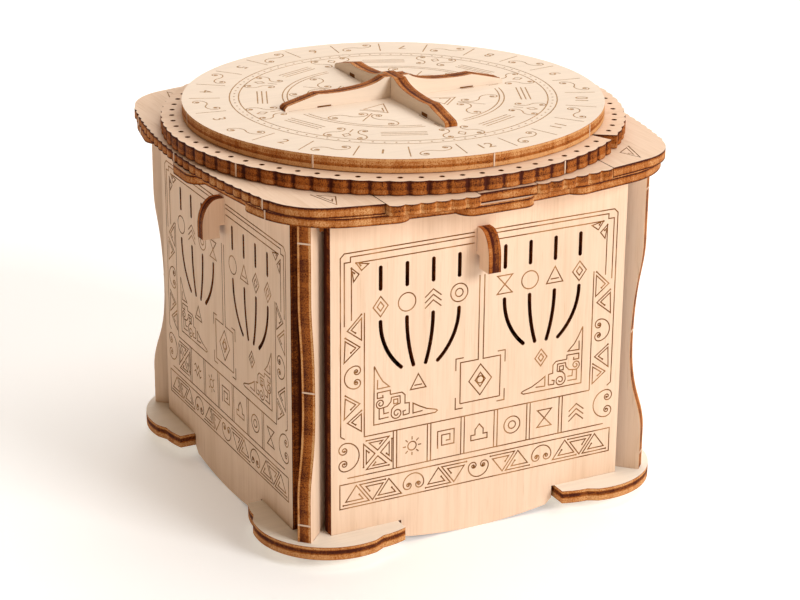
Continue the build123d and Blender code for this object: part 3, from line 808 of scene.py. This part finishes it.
def grey_steps(tree, value, steps):
    """A value read off a row of grey steps."""
    grey = add(tree, "ShaderNodeValToRGB", {0: value})[0]
    ramp = grey.node.color_ramp.elements
    ramp[0].position = min(steps)
    ramp[1].position = max(steps)
    for spot, shade in steps.items():
        if spot == min(steps):
            step = ramp[0]
        elif spot == max(steps):
            step = ramp[len(ramp) - 1]
        else:
            step = ramp.new(spot)
        step.color = (shade, shade, shade, 1.0)
    return grey


def burnt_edge_group():
    """Cut edge of plywood: bands through its thickness, streaks from the cutting, painted shading in the
    valleys of teeth, and where the edge is.
    """
    if "burnt edge" in bpy.data.node_groups:
        return bpy.data.node_groups["burnt edge"]
    inputs = {
        "Vector": "Vector",
        "Normal": "Vector",
        "Axis": "Vector",
        "Bands": "Float",
        "Toast": "Color",
        "Brown": "Color",
        "Char": "Color",
        "Burn": "Float",
        "Valley Shading": "Float",
    }
    outputs = {"Colour": "Color", "Edge": "Float", "Height": "Float"}
    group, given, result = new_group("burnt edge", inputs, outputs)
    # Streaks are drawn out through the thickness, because the way along the axis is nearly taken off
    rise = scaled(group, given["Axis"], reach_along(group, given["Vector"], given["Axis"]))
    level = reckon_vector(group, "SUBTRACT", given["Vector"], scaled(group, rise, 0.88))
    streaks = mottle(group, level, scale=2400.0, detail=3.0, rough=0.65)
    stains = mottle(group, level, scale=210.0)
    specks = ease(group, mottle(group, given["Vector"], scale=3400.0, rough=0.7), 0.48, 0.62)
    # The valley input adds painted shade to the burn in the valleys of teeth, and below nought paints
    # highlight there
    layers = (
        (given["Bands"], 1.05),
        (reckon(group, "SUBTRACT", streaks, 0.5), 0.6),
        (reckon(group, "SUBTRACT", stains, 0.5), 0.9),
        (specks, 0.42),
        (given["Valley Shading"], 0.5),
    )
    burn = summed(group, given["Burn"], layers)
    browned = blend_colours(group, ease(group, burn, 0.0, 0.55), given["Toast"], given["Brown"])
    facing = reckon(group, "ABSOLUTE", reach_along(group, given["Normal"], given["Axis"]))
    looks = {
        "Colour": blend_colours(group, ease(group, burn, 0.5, 1.15), browned, given["Char"]),
        "Edge": ease(group, facing, 0.55, 0.9, 1.0, 0.0),
        "Height": streaks,
    }
    wire(group, result, looks)
    return group


# How dark a cut edge is, from the bottom or back of the sheet to its top or front: its burn, and for the layer
# steps also painted shade
edge_bands = {
    # The dark ends here are partly real char and partly painted shade in the seams where the lid's stacked
    # layers meet
    "layer": {0.0: 1.0, 0.1: 0.8, 0.18: 0.2, 0.6: 0.15, 0.76: 0.45, 0.86: 0.85, 1.0: 1.0},
    "plate": {
        0.0: 0.9, 0.1: 0.65, 0.2: 0.2, 0.58: 0.2, 0.72: 0.5,
        0.78: 0.95, 0.88: 0.8, 0.91: 0.1, 0.97: 0.1, 1.0: 0.7,
    },
    "disc": {
        0.0: 0.6, 0.06: 0.1, 0.28: 0.1, 0.36: 0.75, 0.5: 0.65,
        0.56: 0.4, 0.8: 0.45, 0.86: 0.15, 0.96: 0.2, 1.0: 0.7,
    },
    "tooth": {0.0: 0.8, 0.08: 0.3, 0.3: 0.3, 0.4: 0.6, 0.75: 0.45, 0.88: 0.75, 1.0: 1.0},
    "core": {
        0.0: 0.7, 0.05: 0.1, 0.14: 0.1, 0.22: 0.65, 0.5: 0.75,
        0.8: 0.95, 0.87: 0.15, 0.95: 0.1, 1.0: 0.7,
    },
    "panel": {0.0: 1.0, 0.3: 1.0, 0.48: 0.4, 0.62: 0.3, 0.82: 0.45, 0.9: 0.15, 1.0: 0.5},
    "foot": {
        0.0: 0.6, 0.05: 0.15, 0.36: 0.15, 0.48: 0.75, 0.6: 0.95,
        0.74: 0.85, 0.8: 0.2, 0.94: 0.15, 1.0: 0.8,
    },
}
quarter_turn = math.radians(90)
grain_turns = {"x": (0.0, quarter_turn, 0.0), "y": (quarter_turn, 0.0, 0.0), "z": (0.0, 0.0, 0.0)}


def principled(name):
    """A new material with its shader ready."""
    material = bpy.data.materials.new(name)
    material.use_nodes = True
    return material, material.node_tree, material.node_tree.nodes["Principled BSDF"]


def veneer(tree, where, grain, face, streak):
    """Wood face in two colours, with its grain along an axis."""
    turned = add(tree, "ShaderNodeMapping", {"Vector": where, "Rotation": grain_turns[grain]})[0]
    sockets = {"Vector": turned, "Face": (*face, 1.0), "Streak": (*streak, 1.0)}
    return add(tree, "ShaderNodeGroup", sockets, node_tree=wood_grain_group())


def tooth_valleys(tree, where, along, start, pitch, end, burnt):
    """Painted shade in the valleys of a row of teeth, round the middle or along an axis as far as the row
    goes; a strength below nought paints highlight there instead.
    """
    parts = add(tree, "ShaderNodeSeparateXYZ", {0: where})
    if along == "turn":
        run = reckon(tree, "ARCTAN2", parts["Y"], parts["X"])
    else:
        run = reckon(tree, "ABSOLUTE", parts[along])
    away = reckon(tree, "PINGPONG", reckon(tree, "SUBTRACT", run, start), pitch / 2)
    valley_shading_half = pitch * 0.22
    # Painted shade strongest at each valley and gone a share of the pitch away; the burnt strength below
    # nought makes it a painted highlight
    valley_shading = ease(tree, away, 0.0, valley_shading_half, burnt, 0.0)
    return reckon(tree, "MULTIPLY", valley_shading, reckon(tree, "LESS_THAN", run, end))


def plywood(name, axis, level, thickness, grain, burn=0.2, bands="disc", teeth=None, face=None):
    """Plywood whose faces show grain and whose edges are burnt. The axis is square to the sheet."""
    if name in bpy.data.materials:
        return bpy.data.materials[name]
    finish = bpy.context.scene.box_finish
    material, tree, shader = principled(name)
    where = add(tree, "ShaderNodeTexCoord")
    streak = [value * 0.84 for value in face] if face else finish.streak_colour
    wood = veneer(tree, where["Object"], grain, face or finish.face_colour, streak)
    square = Vector(axis).normalized()
    rise = reckon(tree, "SUBTRACT", reach_along(tree, where["Object"], square), level)
    sockets = {
        "Vector": where["Object"],
        "Normal": where["Normal"],
        "Axis": square,
        "Bands": grey_steps(tree, reckon(tree, "DIVIDE", rise, thickness), edge_bands[bands]),
        "Toast": (*finish.toast_colour, 1.0),
        "Brown": (*finish.brown_colour, 1.0),
        "Char": (*finish.char_colour, 1.0),
        "Burn": burn,
    }
    if teeth:
        sockets["Valley Shading"] = tooth_valleys(tree, where["Object"], **teeth)
    edge = add(tree, "ShaderNodeGroup", sockets, node_tree=burnt_edge_group())
    mask = edge["Edge"]
    height = add(tree, "ShaderNodeMix", {0: mask, 2: wood["Height"], 3: edge["Height"]})[0]
    looks = {
        "Base Color": blend_colours(tree, mask, wood["Colour"], edge["Colour"]),
        "Roughness": reckon(tree, "MULTIPLY_ADD", mask, 0.15, wood["Roughness"]),
        "Normal": bump(tree, height, 0.35),
        "Specular IOR Level": 0.15,
    }
    wire(tree, shader, looks)
    return material


def flat_plywood(name, node, **looks):
    """Plywood of a flat layer, from the heights of its node."""
    return plywood(name, up, *level_and_thickness(node), **looks)


def upright_plywood(name, across, **looks):
    """Plywood of a plate that stands on edge across the middle of the box."""
    return plywood(name, across, -sheet / 2, sheet, **looks)


def bare_wood(name, brightness=1.0):
    """Plain upright wood with no burnt edge, for pegs and inner pieces."""
    if name in bpy.data.materials:
        return bpy.data.materials[name]
    finish = bpy.context.scene.box_finish
    material, tree, shader = principled(name)
    where = add(tree, "ShaderNodeTexCoord")
    face = [value * brightness for value in finish.face_colour]
    streak = [value * brightness for value in finish.streak_colour]
    wood = veneer(tree, where["Object"], "z", face, streak)
    looks = {
        "Base Color": wood["Colour"],
        "Roughness": wood["Roughness"],
        "Normal": bump(tree, wood["Height"], 0.3),
        "Specular IOR Level": 0.3,
    }
    wire(tree, shader, looks)
    return material


def scorched_line(name, colour, paler=None):
    """Brown floor of an engraved line, uneven where the burning dwelt, and paler here and there; it also
    serves as the painted shade of the gaps by the fins' tabs.
    """
    if name in bpy.data.materials:
        return bpy.data.materials[name]
    material, tree, shader = principled(name)
    where = add(tree, "ShaderNodeTexCoord")["Object"]
    uneven = ease(tree, mottle(tree, where, scale=900.0, detail=3.0), 0.3, 0.75)
    dark = [value * 0.6 for value in colour]
    burnt = blend_colours(tree, uneven, (*colour, 1.0), (*dark, 1.0))
    if paler:
        fading = ease(tree, mottle(tree, where, scale=130.0), 0.46, 0.62, 0.0, 0.5)
        burnt = blend_colours(tree, fading, burnt, (*paler, 1.0))
    looks = {
        "Base Color": burnt,
        "Roughness": reckon(tree, "MULTIPLY_ADD", uneven, 0.15, 0.75),
        "Specular IOR Level": 0.2,
    }
    wire(tree, shader, looks)
    return material


def tab_tree():
    """Geometry nodes that set a rough little pad on each point, turned as the point says."""
    if "break tabs" in bpy.data.node_groups:
        return bpy.data.node_groups["break tabs"]
    lengths = dict.fromkeys(("Depth", "Width", "Height"), "Float")
    inputs = {"Geometry": "Geometry", **lengths, "Material": "Material"}
    tree, given, result = new_group("break tabs", inputs, {"Geometry": "Geometry"}, "GeometryNodeTree")
    seed = 3.0
    wear = 0.12 * mm
    sizes = {0: given["Depth"], 1: given["Width"], 2: given["Height"]}
    size = add(tree, "ShaderNodeCombineXYZ", sizes)[0]
    pad = add(tree, "GeometryNodeMeshCube", {"Size": size, "Vertices Z": 6})[0]
    turn = add(tree, "GeometryNodeInputNamedAttribute", {"Name": "turn"}, data_type="FLOAT")[0]
    spin = add(tree, "FunctionNodeEulerToRotation", {0: add(tree, "ShaderNodeCombineXYZ", {2: turn})[0]})[0]
    sockets = {"Points": given["Geometry"], "Instance": pad, "Rotation": spin}
    pads = add(tree, "GeometryNodeInstanceOnPoints", sockets)[0]
    real = add(tree, "GeometryNodeRealizeInstances", {0: pads})[0]
    sockets = {"W": seed, "Scale": 2500.0, "Detail": 1.0}
    uneven = add(tree, "ShaderNodeTexNoise", sockets, noise_dimensions="4D")["Color"]
    offset = scaled(tree, reckon_vector(tree, "SUBTRACT", uneven, (0.5, 0.5, 0.5)), wear)
    worn = add(tree, "GeometryNodeSetPosition", {"Geometry": real, "Offset": offset})[0]
    finished = add(tree, "GeometryNodeSetMaterial", {"Geometry": worn, "Material": given["Material"]})[0]
    wire(tree, result, {0: finished})
    return tree


def rim_tree():
    """Geometry nodes that lay a burnt rim round each small hole of a circle of holes, leaving one out."""
    if "hole rims" in bpy.data.node_groups:
        return bpy.data.node_groups["hole rims"]
    counts = dict.fromkeys(("Count", "Left Out", "Corners"), "Int")
    lengths = dict.fromkeys(("Circle Radius", "Hole Radius", "Rim Width", "Level", "Turn"), "Float")
    inputs = {"Geometry": "Geometry", **counts, **lengths, "Material": "Material"}
    tree, given, result = new_group("hole rims", inputs, {"Geometry": "Geometry"}, "GeometryNodeTree")
    sockets = {"Vertices": given["Count"], "Radius": given["Circle Radius"]}
    circle = add(tree, "GeometryNodeMeshCircle", sockets)[0]
    sockets = {2: add(tree, "GeometryNodeInputIndex")[0], 3: given["Left Out"]}
    left_out = add(tree, "FunctionNodeCompare", sockets, data_type="INT", operation="EQUAL")[0]
    sockets = {"Geometry": circle, "Selection": left_out}
    spots = add(tree, "GeometryNodeDeleteGeometry", sockets, domain="POINT")[0]
    sockets = {"Vertices": given["Corners"], "Radius": given["Hole Radius"]}
    hole = add(tree, "GeometryNodeMeshCircle", sockets)[0]
    place = add(tree, "GeometryNodeInputPosition")[0]
    outward = add(tree, "ShaderNodeVectorMath", {0: place}, operation="NORMALIZE")[0]
    sockets = {"Mesh": hole, "Offset": outward, "Offset Scale": given["Rim Width"]}
    rim = add(tree, "GeometryNodeExtrudeMesh", sockets, mode="EDGES")[0]
    rims = add(tree, "GeometryNodeInstanceOnPoints", {"Points": spots, "Instance": rim})[0]
    real = add(tree, "GeometryNodeRealizeInstances", {0: rims})[0]
    lift = add(tree, "ShaderNodeCombineXYZ", {2: given["Level"]})[0]
    turn = add(tree, "ShaderNodeCombineXYZ", {2: given["Turn"]})[0]
    moved = add(tree, "GeometryNodeTransform", {"Geometry": real, "Translation": lift, "Rotation": turn})[0]
    finished = add(tree, "GeometryNodeSetMaterial", {"Geometry": moved, "Material": given["Material"]})[0]
    wire(tree, result, {0: finished})
    return tree


def grown(name, seed_mesh, tree, values):
    """Run geometry nodes on a mesh and keep the result as a plain piece."""
    seed = new_piece(name + "_seed", seed_mesh)
    modifier = seed.modifiers.new("grow", "NODES")
    modifier.node_group = tree
    for item in tree.interface.items_tree:
        if item.in_out == "INPUT" and item.name in values:
            modifier[item.identifier] = values[item.name]
    bpy.context.view_layer.update()
    depsgraph = bpy.context.evaluated_depsgraph_get()
    mesh = bpy.data.meshes.new_from_object(seed.evaluated_get(depsgraph), depsgraph=depsgraph)
    if not mesh.polygons:
        raise RuntimeError(f"{name} came out empty")
    mesh.name = name
    seed.modifiers.remove(modifier)
    bpy.data.objects.remove(seed)
    bpy.data.meshes.remove(seed_mesh)
    return new_piece(name, mesh)


def tab_seeds(spots):
    """Points that carry the way their tab looks."""
    mesh = bpy.data.meshes.new("seed")
    mesh.from_pydata([spot for spot, _ in spots], [], [])
    turn = mesh.attributes.new("turn", "FLOAT", "POINT")
    for index, (_, angle) in enumerate(spots):
        turn.data[index].value = angle
    return mesh


def edge_spot(node, level, outward, aside=0.0):
    """Where a level look at a piece from outside meets it, and the angle it looks out at."""
    outside = 0.15
    mesh = nodes[node].data
    faces = [list(polygon.vertices) for polygon in mesh.polygons]
    tree = BVHTree.FromPolygons([vertex.co for vertex in mesh.vertices], faces)
    start = outward * outside + up.cross(outward) * aside + up * level
    spot = tree.ray_cast(start, -outward)[0]
    if spot is None:
        raise RuntimeError(f"nothing of {node} lies that way")
    return spot, math.atan2(outward.y, outward.x)


def middle_level(node):
    """Height halfway up a flat piece."""
    level, thickness = level_and_thickness(node)
    return level + thickness / 2


def round_tab_spots(node, angles):
    """Where tabs were broken off the rim of a round piece."""
    spots = []
    for angle in angles:
        turn = math.radians(angle)
        outward = Vector((math.cos(turn), math.sin(turn), 0.0))
        spots.append(edge_spot(node, middle_level(node), outward))
    return spots


def post_tab_spots():
    """Where tabs were broken off the outer edges of the corner posts."""
    spots = []
    for corner, outward in corners.items():
        for level in (97.0, 52.0, 13.0):
            spots.append(edge_spot(f"post_{corner}", level * mm, outward))
    return spots


def lid_tab_spots():
    """Where tabs were broken off the two toothed sides of the lid and the plate under them."""
    spots = []
    for side in ("left", "right"):
        outward = sides[side]
        for node, places in ((f"lid_side_{side}", (-47.8, 1.4, 40.0)), ("lid_plate", (-47.8, 40.0))):
            for place in places:
                spots.append(edge_spot(node, middle_level(node), outward, place * mm * outward.x))
    return spots


class PUZZLEBOX_OT_side_panels(Operator):
    """Engrave the four side panels"""

    bl_idname = "puzzlebox.side_panels"
    bl_label = "Side panels"

    def execute(self, context):
        finish = context.scene.box_finish
        scorch = scorched_line("scorched line", finish.line_colour, finish.toast_colour)
        looks = {"grain": "z", "burn": 0.5, "bands": "panel"}
        for shift, (side, outward) in enumerate(sides.items()):
            node = f"panel_{side}"
            inner, outer = sorted(Vector(corner).dot(outward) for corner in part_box(node))
            wood = plywood(f"{side} panel plywood", outward, inner, outer - inner, **looks)
            along = up.cross(outward)
            patches = strokes_to_patches(panel_drawing(shift), finish.line_width)
            name = f"engraved_panel_{side}"
            piece = engrave(node, name, outward, along, patches, finish.line_depth, wood, scorch)
            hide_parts(node)
            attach(piece, "case")
        return {"FINISHED"}


class PUZZLEBOX_OT_corner_posts(Operator):
    """Finish the four corner posts"""

    bl_idname = "puzzlebox.corner_posts"
    bl_label = "Corner posts"

    def execute(self, context):
        looks = {"grain": "z", "burn": -0.12, "bands": "core"}
        for corner, outward in corners.items():
            wood = upright_plywood(f"{corner} post plywood", outward.cross(up), **looks)
            dress(f"post_{corner}", wood)
        return {"FINISHED"}


class PUZZLEBOX_OT_base(Operator):
    """Finish the base with its feet, and the frame under the lid"""

    bl_idname = "puzzlebox.base"
    bl_label = "Base"

    def execute(self, context):
        # The base takes the palest copy of the wood, a painted highlight on its top
        looks = {"grain": "x", "burn": -0.02, "bands": "foot", "face": context.scene.box_finish.foot_colour}
        dress("base_plate", flat_plywood("base plywood", "base_plate", **looks))
        dress("rim_frame", flat_plywood("rim plywood", "rim_frame", grain="x"))
        dress("key_guides", bare_wood("guide wood"))
        return {"FINISHED"}


class PUZZLEBOX_OT_lid_layers(Operator):
    """Finish the layers of the lid, and engrave its two side plates"""

    bl_idname = "puzzlebox.lid_layers"
    bl_label = "Lid layers"

    def execute(self, context):
        finish = context.scene.box_finish
        scorch = scorched_line("scorched line", finish.line_colour, finish.toast_colour)
        plate = flat_plywood("lid plate plywood", "lid_plate", grain="x", burn=0.04, bands="plate")
        dress("lid_plate", plate)
        # The layer steps darken the edges' ends: char and painted shade where the lid's layers meet
        looks = {"grain": "y", "burn": 0.08, "bands": "layer"}
        upper = flat_plywood("lid upper plywood", "lid_core", **looks)
        for node in ("lid_core", "lid_strip_front", "lid_strip_back"):
            dress(node, upper)
        row_half = 50.0 * mm
        tooth_count = 24
        pitch = 2 * row_half / tooth_count
        # The valleys of the teeth get painted shade
        teeth = {"along": "Y", "start": row_half, "pitch": pitch, "end": row_half, "burnt": 0.8}
        toothed = flat_plywood("toothed side plywood", "lid_side_left", teeth=teeth, **looks)
        for side, hand in (("left", -1), ("right", 1)):
            node = f"lid_side_{side}"
            patches = strokes_to_patches(lid_drawing(hand), finish.line_width)
            name = f"engraved_lid_{side}"
            piece = engrave(node, name, up, sides["right"], patches, finish.line_depth, toothed, scorch)
            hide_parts(node)
            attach(piece, "lid")
        dress("hub_disc", flat_plywood("hub plywood", "hub_disc", grain="x", burn=0.3))
        dress("dial_washer", flat_plywood("washer plywood", "dial_washer", grain="x", burn=0.3))
        return {"FINISHED"}


class PUZZLEBOX_OT_toothed_blocks(Operator):
    """Finish the four toothed blocks that slide in the lid, and their pegs"""

    bl_idname = "puzzlebox.toothed_blocks"
    bl_label = "Toothed blocks"

    def execute(self, context):
        node = "block_front_left"
        tooth_count = 6
        inner, outer = sorted(abs(float(corner[0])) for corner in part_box(node))
        pitch = (outer - inner) / tooth_count
        # Below nought, the valleys get painted highlight, for the teeth's facets that face the light
        teeth = {"along": "X", "start": inner, "pitch": pitch, "end": outer * 2, "burnt": -0.8}
        wood = flat_plywood("block plywood", node, grain="x", burn=0.08, bands="tooth", teeth=teeth)
        for corner in corners:
            dress(f"block_{corner}", wood)
            dress(f"block_peg_{corner}", bare_wood("peg wood"))
        return {"FINISHED"}


class PUZZLEBOX_OT_toothed_ring(Operator):
    """Finish the toothed ring and lay burnt rims round its index holes"""

    bl_idname = "puzzlebox.toothed_ring"
    bl_label = "Toothed ring"

    def execute(self, context):
        finish = context.scene.box_finish
        tooth_count = 80
        valley = math.radians(-50.4)
        pitch = math.tau / tooth_count
        # The valleys of the teeth get painted shade
        teeth = {"along": "turn", "start": valley, "pitch": pitch, "end": math.pi, "burnt": 1.0}
        looks = {"grain": "x", "burn": 0.06, "bands": "tooth", "teeth": teeth}
        dress("toothed_ring", flat_plywood("ring plywood", "toothed_ring", **looks))
        clear_of_face = 0.02 * mm
        values = {
            "Count": 72,
            "Left Out": 62,
            "Corners": finish.rim_steps,
            "Circle Radius": 65.8 * mm,
            "Hole Radius": 0.6 * mm,
            "Rim Width": finish.rim_width,
            "Level": sum(level_and_thickness("toothed_ring")) + clear_of_face,
            "Turn": math.radians(-0.4),
            "Material": scorched_line("scorched rim", finish.line_colour),
        }
        piece = grown("ring_hole_rims", bpy.data.meshes.new("seed"), rim_tree(), values)
        if piece.data.polygons[0].normal.z < 0:
            piece.data.flip_normals()
        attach(piece, "ring")
        return {"FINISHED"}


class PUZZLEBOX_OT_dial(Operator):
    """Engrave the dial"""

    bl_idname = "puzzlebox.dial"
    bl_label = "Dial"

    def execute(self, context):
        finish = context.scene.box_finish
        # The dial takes the paler copy of the wood, a painted highlight on its brightly lit top
        wood = flat_plywood("dial plywood", "dial_disc", grain="x", burn=-0.2, face=finish.pale_colour)
        scorch = scorched_line("faint scorched line", finish.faint_colour)
        patches = strokes_to_patches(dial_drawing(), finish.line_width) + dial_numbers()
        depth = finish.line_depth / 2
        piece = engrave("dial_disc", "engraved_dial", up, sides["right"], patches, depth, wood, scorch)
        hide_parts("dial_disc")
        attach(piece, "dial")
        return {"FINISHED"}


class PUZZLEBOX_OT_handle(Operator):
    """Finish the two crossed fins of the handle, and lay dark pads of painted shade for the gaps over their
    tabs
    """

    bl_idname = "puzzlebox.handle"
    bl_label = "Handle"

    def execute(self, context):
        finish = context.scene.box_finish
        # The fins take the paler copy of the wood, a painted highlight on their lit sides
        looks = {"burn": 0.18, "face": finish.pale_colour}
        across = upright_plywood("across fin plywood", sides["back"], grain="x", **looks)
        along = upright_plywood("along fin plywood", sides["right"], grain="y", **looks)
        dress("handle_fin_across", across)
        dress("handle_fin_along", along)
        # Dark pads at the fins' feet, a little proud of their faces: painted shade where the tabs pass through
        # the dial
        dark = scorched_line("painted tab gap shade", finish.line_colour)
        dial_top = sum(level_and_thickness("dial_disc"))
        tab_place = 23.7 * mm
        for fin, angle, length, height in (("across", 0.0, 4.4, 0.4), ("along", 90.0, 3.4, 1.1)):
            turn = math.radians(angle)
            heading = Vector((math.cos(turn), math.sin(turn), 0.0))
            level = dial_top + height * mm / 2
            spots = []
            for end in (-tab_place, tab_place):
                for face in (-sheet / 2, sheet / 2):
                    spot = heading * end + heading.cross(up) * face + up * level
                    spots.append((spot, turn + quarter_turn))
            values = {"Depth": 0.1 * mm, "Width": length * mm, "Height": height * mm, "Material": dark}
            piece = grown(f"{fin}_fin_gap_shadows", tab_seeds(spots), tab_tree(), values)
            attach(piece, "dial")
        return {"FINISHED"}


class PUZZLEBOX_OT_knobs(Operator):
    """Finish the four flat knobs and their pegs"""

    bl_idname = "puzzlebox.knobs"
    bl_label = "Knobs"

    def execute(self, context):
        for side, outward in sides.items():
            wood = upright_plywood(f"{side} knob plywood", up.cross(outward), grain="z", burn=0.35)
            dress(f"key_{side}", wood)
            dress(f"key_peg_{side}", bare_wood("key peg wood"))
        return {"FINISHED"}


class PUZZLEBOX_OT_lock_works(Operator):
    """Finish the carrier, cam, bolts, rails, pillars and shaft under the lid"""

    bl_idname = "puzzlebox.lock_works"
    bl_label = "Lock works"

    def execute(self, context):
        looks = {"grain": "x", "burn": 0.25}
        for node in ("carrier_plate", "cam_plate", "guide_rails", "shaft_collar"):
            dress(node, flat_plywood(f"{node} plywood", node, **looks))
        bolt_wood = flat_plywood("bolt plywood", "bolt_front", **looks)
        for side in sides:
            dress(f"bolt_{side}", bolt_wood)
            dress(f"bolt_pin_{side}", bare_wood("pin wood"))
        dress("pillars", bare_wood("pillar wood"))
        dress("drive_shaft", bare_wood("shaft wood"))
        return {"FINISHED"}


class PUZZLEBOX_OT_break_tabs(Operator):
    """Set the pale marks where pieces were broken out of their sheets"""

    bl_idname = "puzzlebox.break_tabs"
    bl_label = "Break tabs"

    def execute(self, context):
        narrow = context.scene.box_finish.tab_width
        pale = bare_wood("broken tab wood", 0.9)
        through = sheet * 0.94
        lid_through = 2.8 * mm
        dial_spots = round_tab_spots("dial_disc", (-137.6, -90.9, -53.6, -12.0, 34.0, 79.0, 124.0, 171.0))
        ring_spots = round_tab_spots("toothed_ring", (-156.0, -73.0, -1.0, 71.0, 143.0))
        marks = (
            ("dial_tabs", "dial", "lid_plywood", dial_spots, narrow, through),
            ("ring_tabs", "ring", "lid_plywood", ring_spots, narrow, through),
            ("post_tabs", "case", "case_plywood", post_tab_spots(), through, narrow),
            ("lid_tabs", "lid", "lid_plywood", lid_tab_spots(), narrow, lid_through),
        )
        for name, body, slot, spots, width, height in marks:
            values = {"Depth": 0.3 * mm, "Width": width, "Height": height, "Material": pale}
            piece = grown(name, tab_seeds(spots), tab_tree(), values)
            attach(piece, body)
        return {"FINISHED"}


# Sizes and places on the stage in metres, the camera's turns in degrees and its sensor in millimetres
floor_half = 12.0
key_size = 0.65
key_place = (0.75, -1.45, 0.85)
key_target = (0.0, 0.0, 0.06)
top_size = 1.0
top_place = (0.35, 0.0, 1.15)
top_target = (0.0, 0.0, 0.1)
back_size = 1.6
back_place = (0.5, 1.7, 1.3)
back_target = (0.4, 1.5, 0.0)
camera_place = (-0.29248, -0.56962, 0.30040)
camera_dip = 21.19
camera_heading = -27.40
camera_roll = 0.449
camera_sensor = 36.0


def pale_floor(stage):
    """Finish of the floor, which glows a little."""
    material, tree, shader = principled("pale floor")
    uneven = mottle(tree, add(tree, "ShaderNodeTexCoord")["Object"], scale=6.0)
    dark = [value * 0.985 for value in stage.floor_colour]
    looks = {
        "Base Color": blend_colours(tree, uneven, (*stage.floor_colour, 1.0), (*dark, 1.0)),
        "Roughness": 0.9,
        "Emission Color": (*stage.glow_colour, 1.0),
        "Emission Strength": stage.floor_glow,
        "Specular IOR Level": 0.1,
    }
    wire(tree, shader, looks)
    return material


def soft_light(name, power, size, place, target):
    """A square soft light that looks at a point."""
    lamp = bpy.data.lights.new(name, "AREA")
    lamp.energy = power
    lamp.size = size
    holder = bpy.data.objects.new(name, lamp)
    holder.location = place
    holder.rotation_euler = (Vector(target) - Vector(place)).to_track_quat("-Z", "Y").to_euler()
    bpy.context.scene.collection.objects.link(holder)


def photo_camera(focal_length):
    """A camera that looks at the box from its front left corner."""
    lens = bpy.data.cameras.new("camera")
    lens.lens = focal_length
    lens.sensor_width = camera_sensor
    camera = bpy.data.objects.new("camera", lens)
    aim = Euler((math.radians(90 - camera_dip), 0.0, math.radians(camera_heading)), "XYZ").to_matrix()
    aim = aim @ Matrix.Rotation(math.radians(camera_roll), 3, "Z")
    camera.matrix_world = Matrix.Translation(camera_place) @ aim.to_4x4()
    bpy.context.scene.collection.objects.link(camera)
    return camera


class PUZZLEBOX_OT_stage(Operator):
    """Lay the floor and set the lights and the camera"""

    bl_idname = "puzzlebox.stage"
    bl_label = "Stage"

    def execute(self, context):
        stage = context.scene.box_stage
        mesh = bpy.data.meshes.new("floor")
        hands = ((-1, -1), (1, -1), (1, 1), (-1, 1))
        mesh.from_pydata([(x * floor_half, y * floor_half, 0.0) for x, y in hands], [], [(0, 1, 2, 3)])
        mesh.materials.append(pale_floor(stage))
        new_piece("floor", mesh)
        world = bpy.data.worlds.new("studio")
        world.use_nodes = True
        sky = world.node_tree.nodes["Background"]
        wire(world.node_tree, sky, {"Color": (*stage.sky_colour, 1.0), "Strength": stage.sky_strength})
        context.scene.world = world
        soft_light("key light", stage.key_power, key_size, key_place, key_target)
        soft_light("top light", stage.top_power, top_size, top_place, top_target)
        soft_light("backdrop light", stage.back_power, back_size, back_place, back_target)
        context.scene.camera = photo_camera(stage.lens)
        context.scene.view_settings.view_transform = "Standard"
        return {"FINISHED"}


class PUZZLEBOX_PT_box(Panel):
    """Buttons for the pieces of the box and for its stage"""

    bl_idname = "PUZZLEBOX_PT_box"
    bl_label = "Puzzle box"
    bl_space_type = "VIEW_3D"
    bl_region_type = "UI"
    bl_category = "Puzzle box"

    def draw(self, context):
        """List a button for each step, then the settings."""
        for step in steps:
            self.layout.operator(step.bl_idname)
        for group in (context.scene.box_finish, context.scene.box_stage):
            for label in group.__annotations__:
                self.layout.prop(group, label)


steps = (
    PUZZLEBOX_OT_side_panels,
    PUZZLEBOX_OT_corner_posts,
    PUZZLEBOX_OT_base,
    PUZZLEBOX_OT_lid_layers,
    PUZZLEBOX_OT_toothed_blocks,
    PUZZLEBOX_OT_toothed_ring,
    PUZZLEBOX_OT_dial,
    PUZZLEBOX_OT_handle,
    PUZZLEBOX_OT_knobs,
    PUZZLEBOX_OT_lock_works,
    PUZZLEBOX_OT_break_tabs,
    PUZZLEBOX_OT_stage,
)
classes = (BoxFinish, BoxStage, *steps, PUZZLEBOX_PT_box)


def register():
    """Make the classes and their settings known."""
    for item in classes:
        bpy.utils.register_class(item)
    bpy.types.Scene.box_finish = PointerProperty(type=BoxFinish)
    bpy.types.Scene.box_stage = PointerProperty(type=BoxStage)


def unregister():
    """Take the settings and the classes away again."""
    del bpy.types.Scene.box_stage
    del bpy.types.Scene.box_finish
    for item in reversed(classes):
        bpy.utils.unregister_class(item)


def main():
    """Register the classes, dress every piece and set the stage."""
    register()
    for step in steps:
        family, _, action = step.bl_idname.partition(".")
        getattr(getattr(bpy.ops, family), action)()


if __name__ == "__main__":
    main()
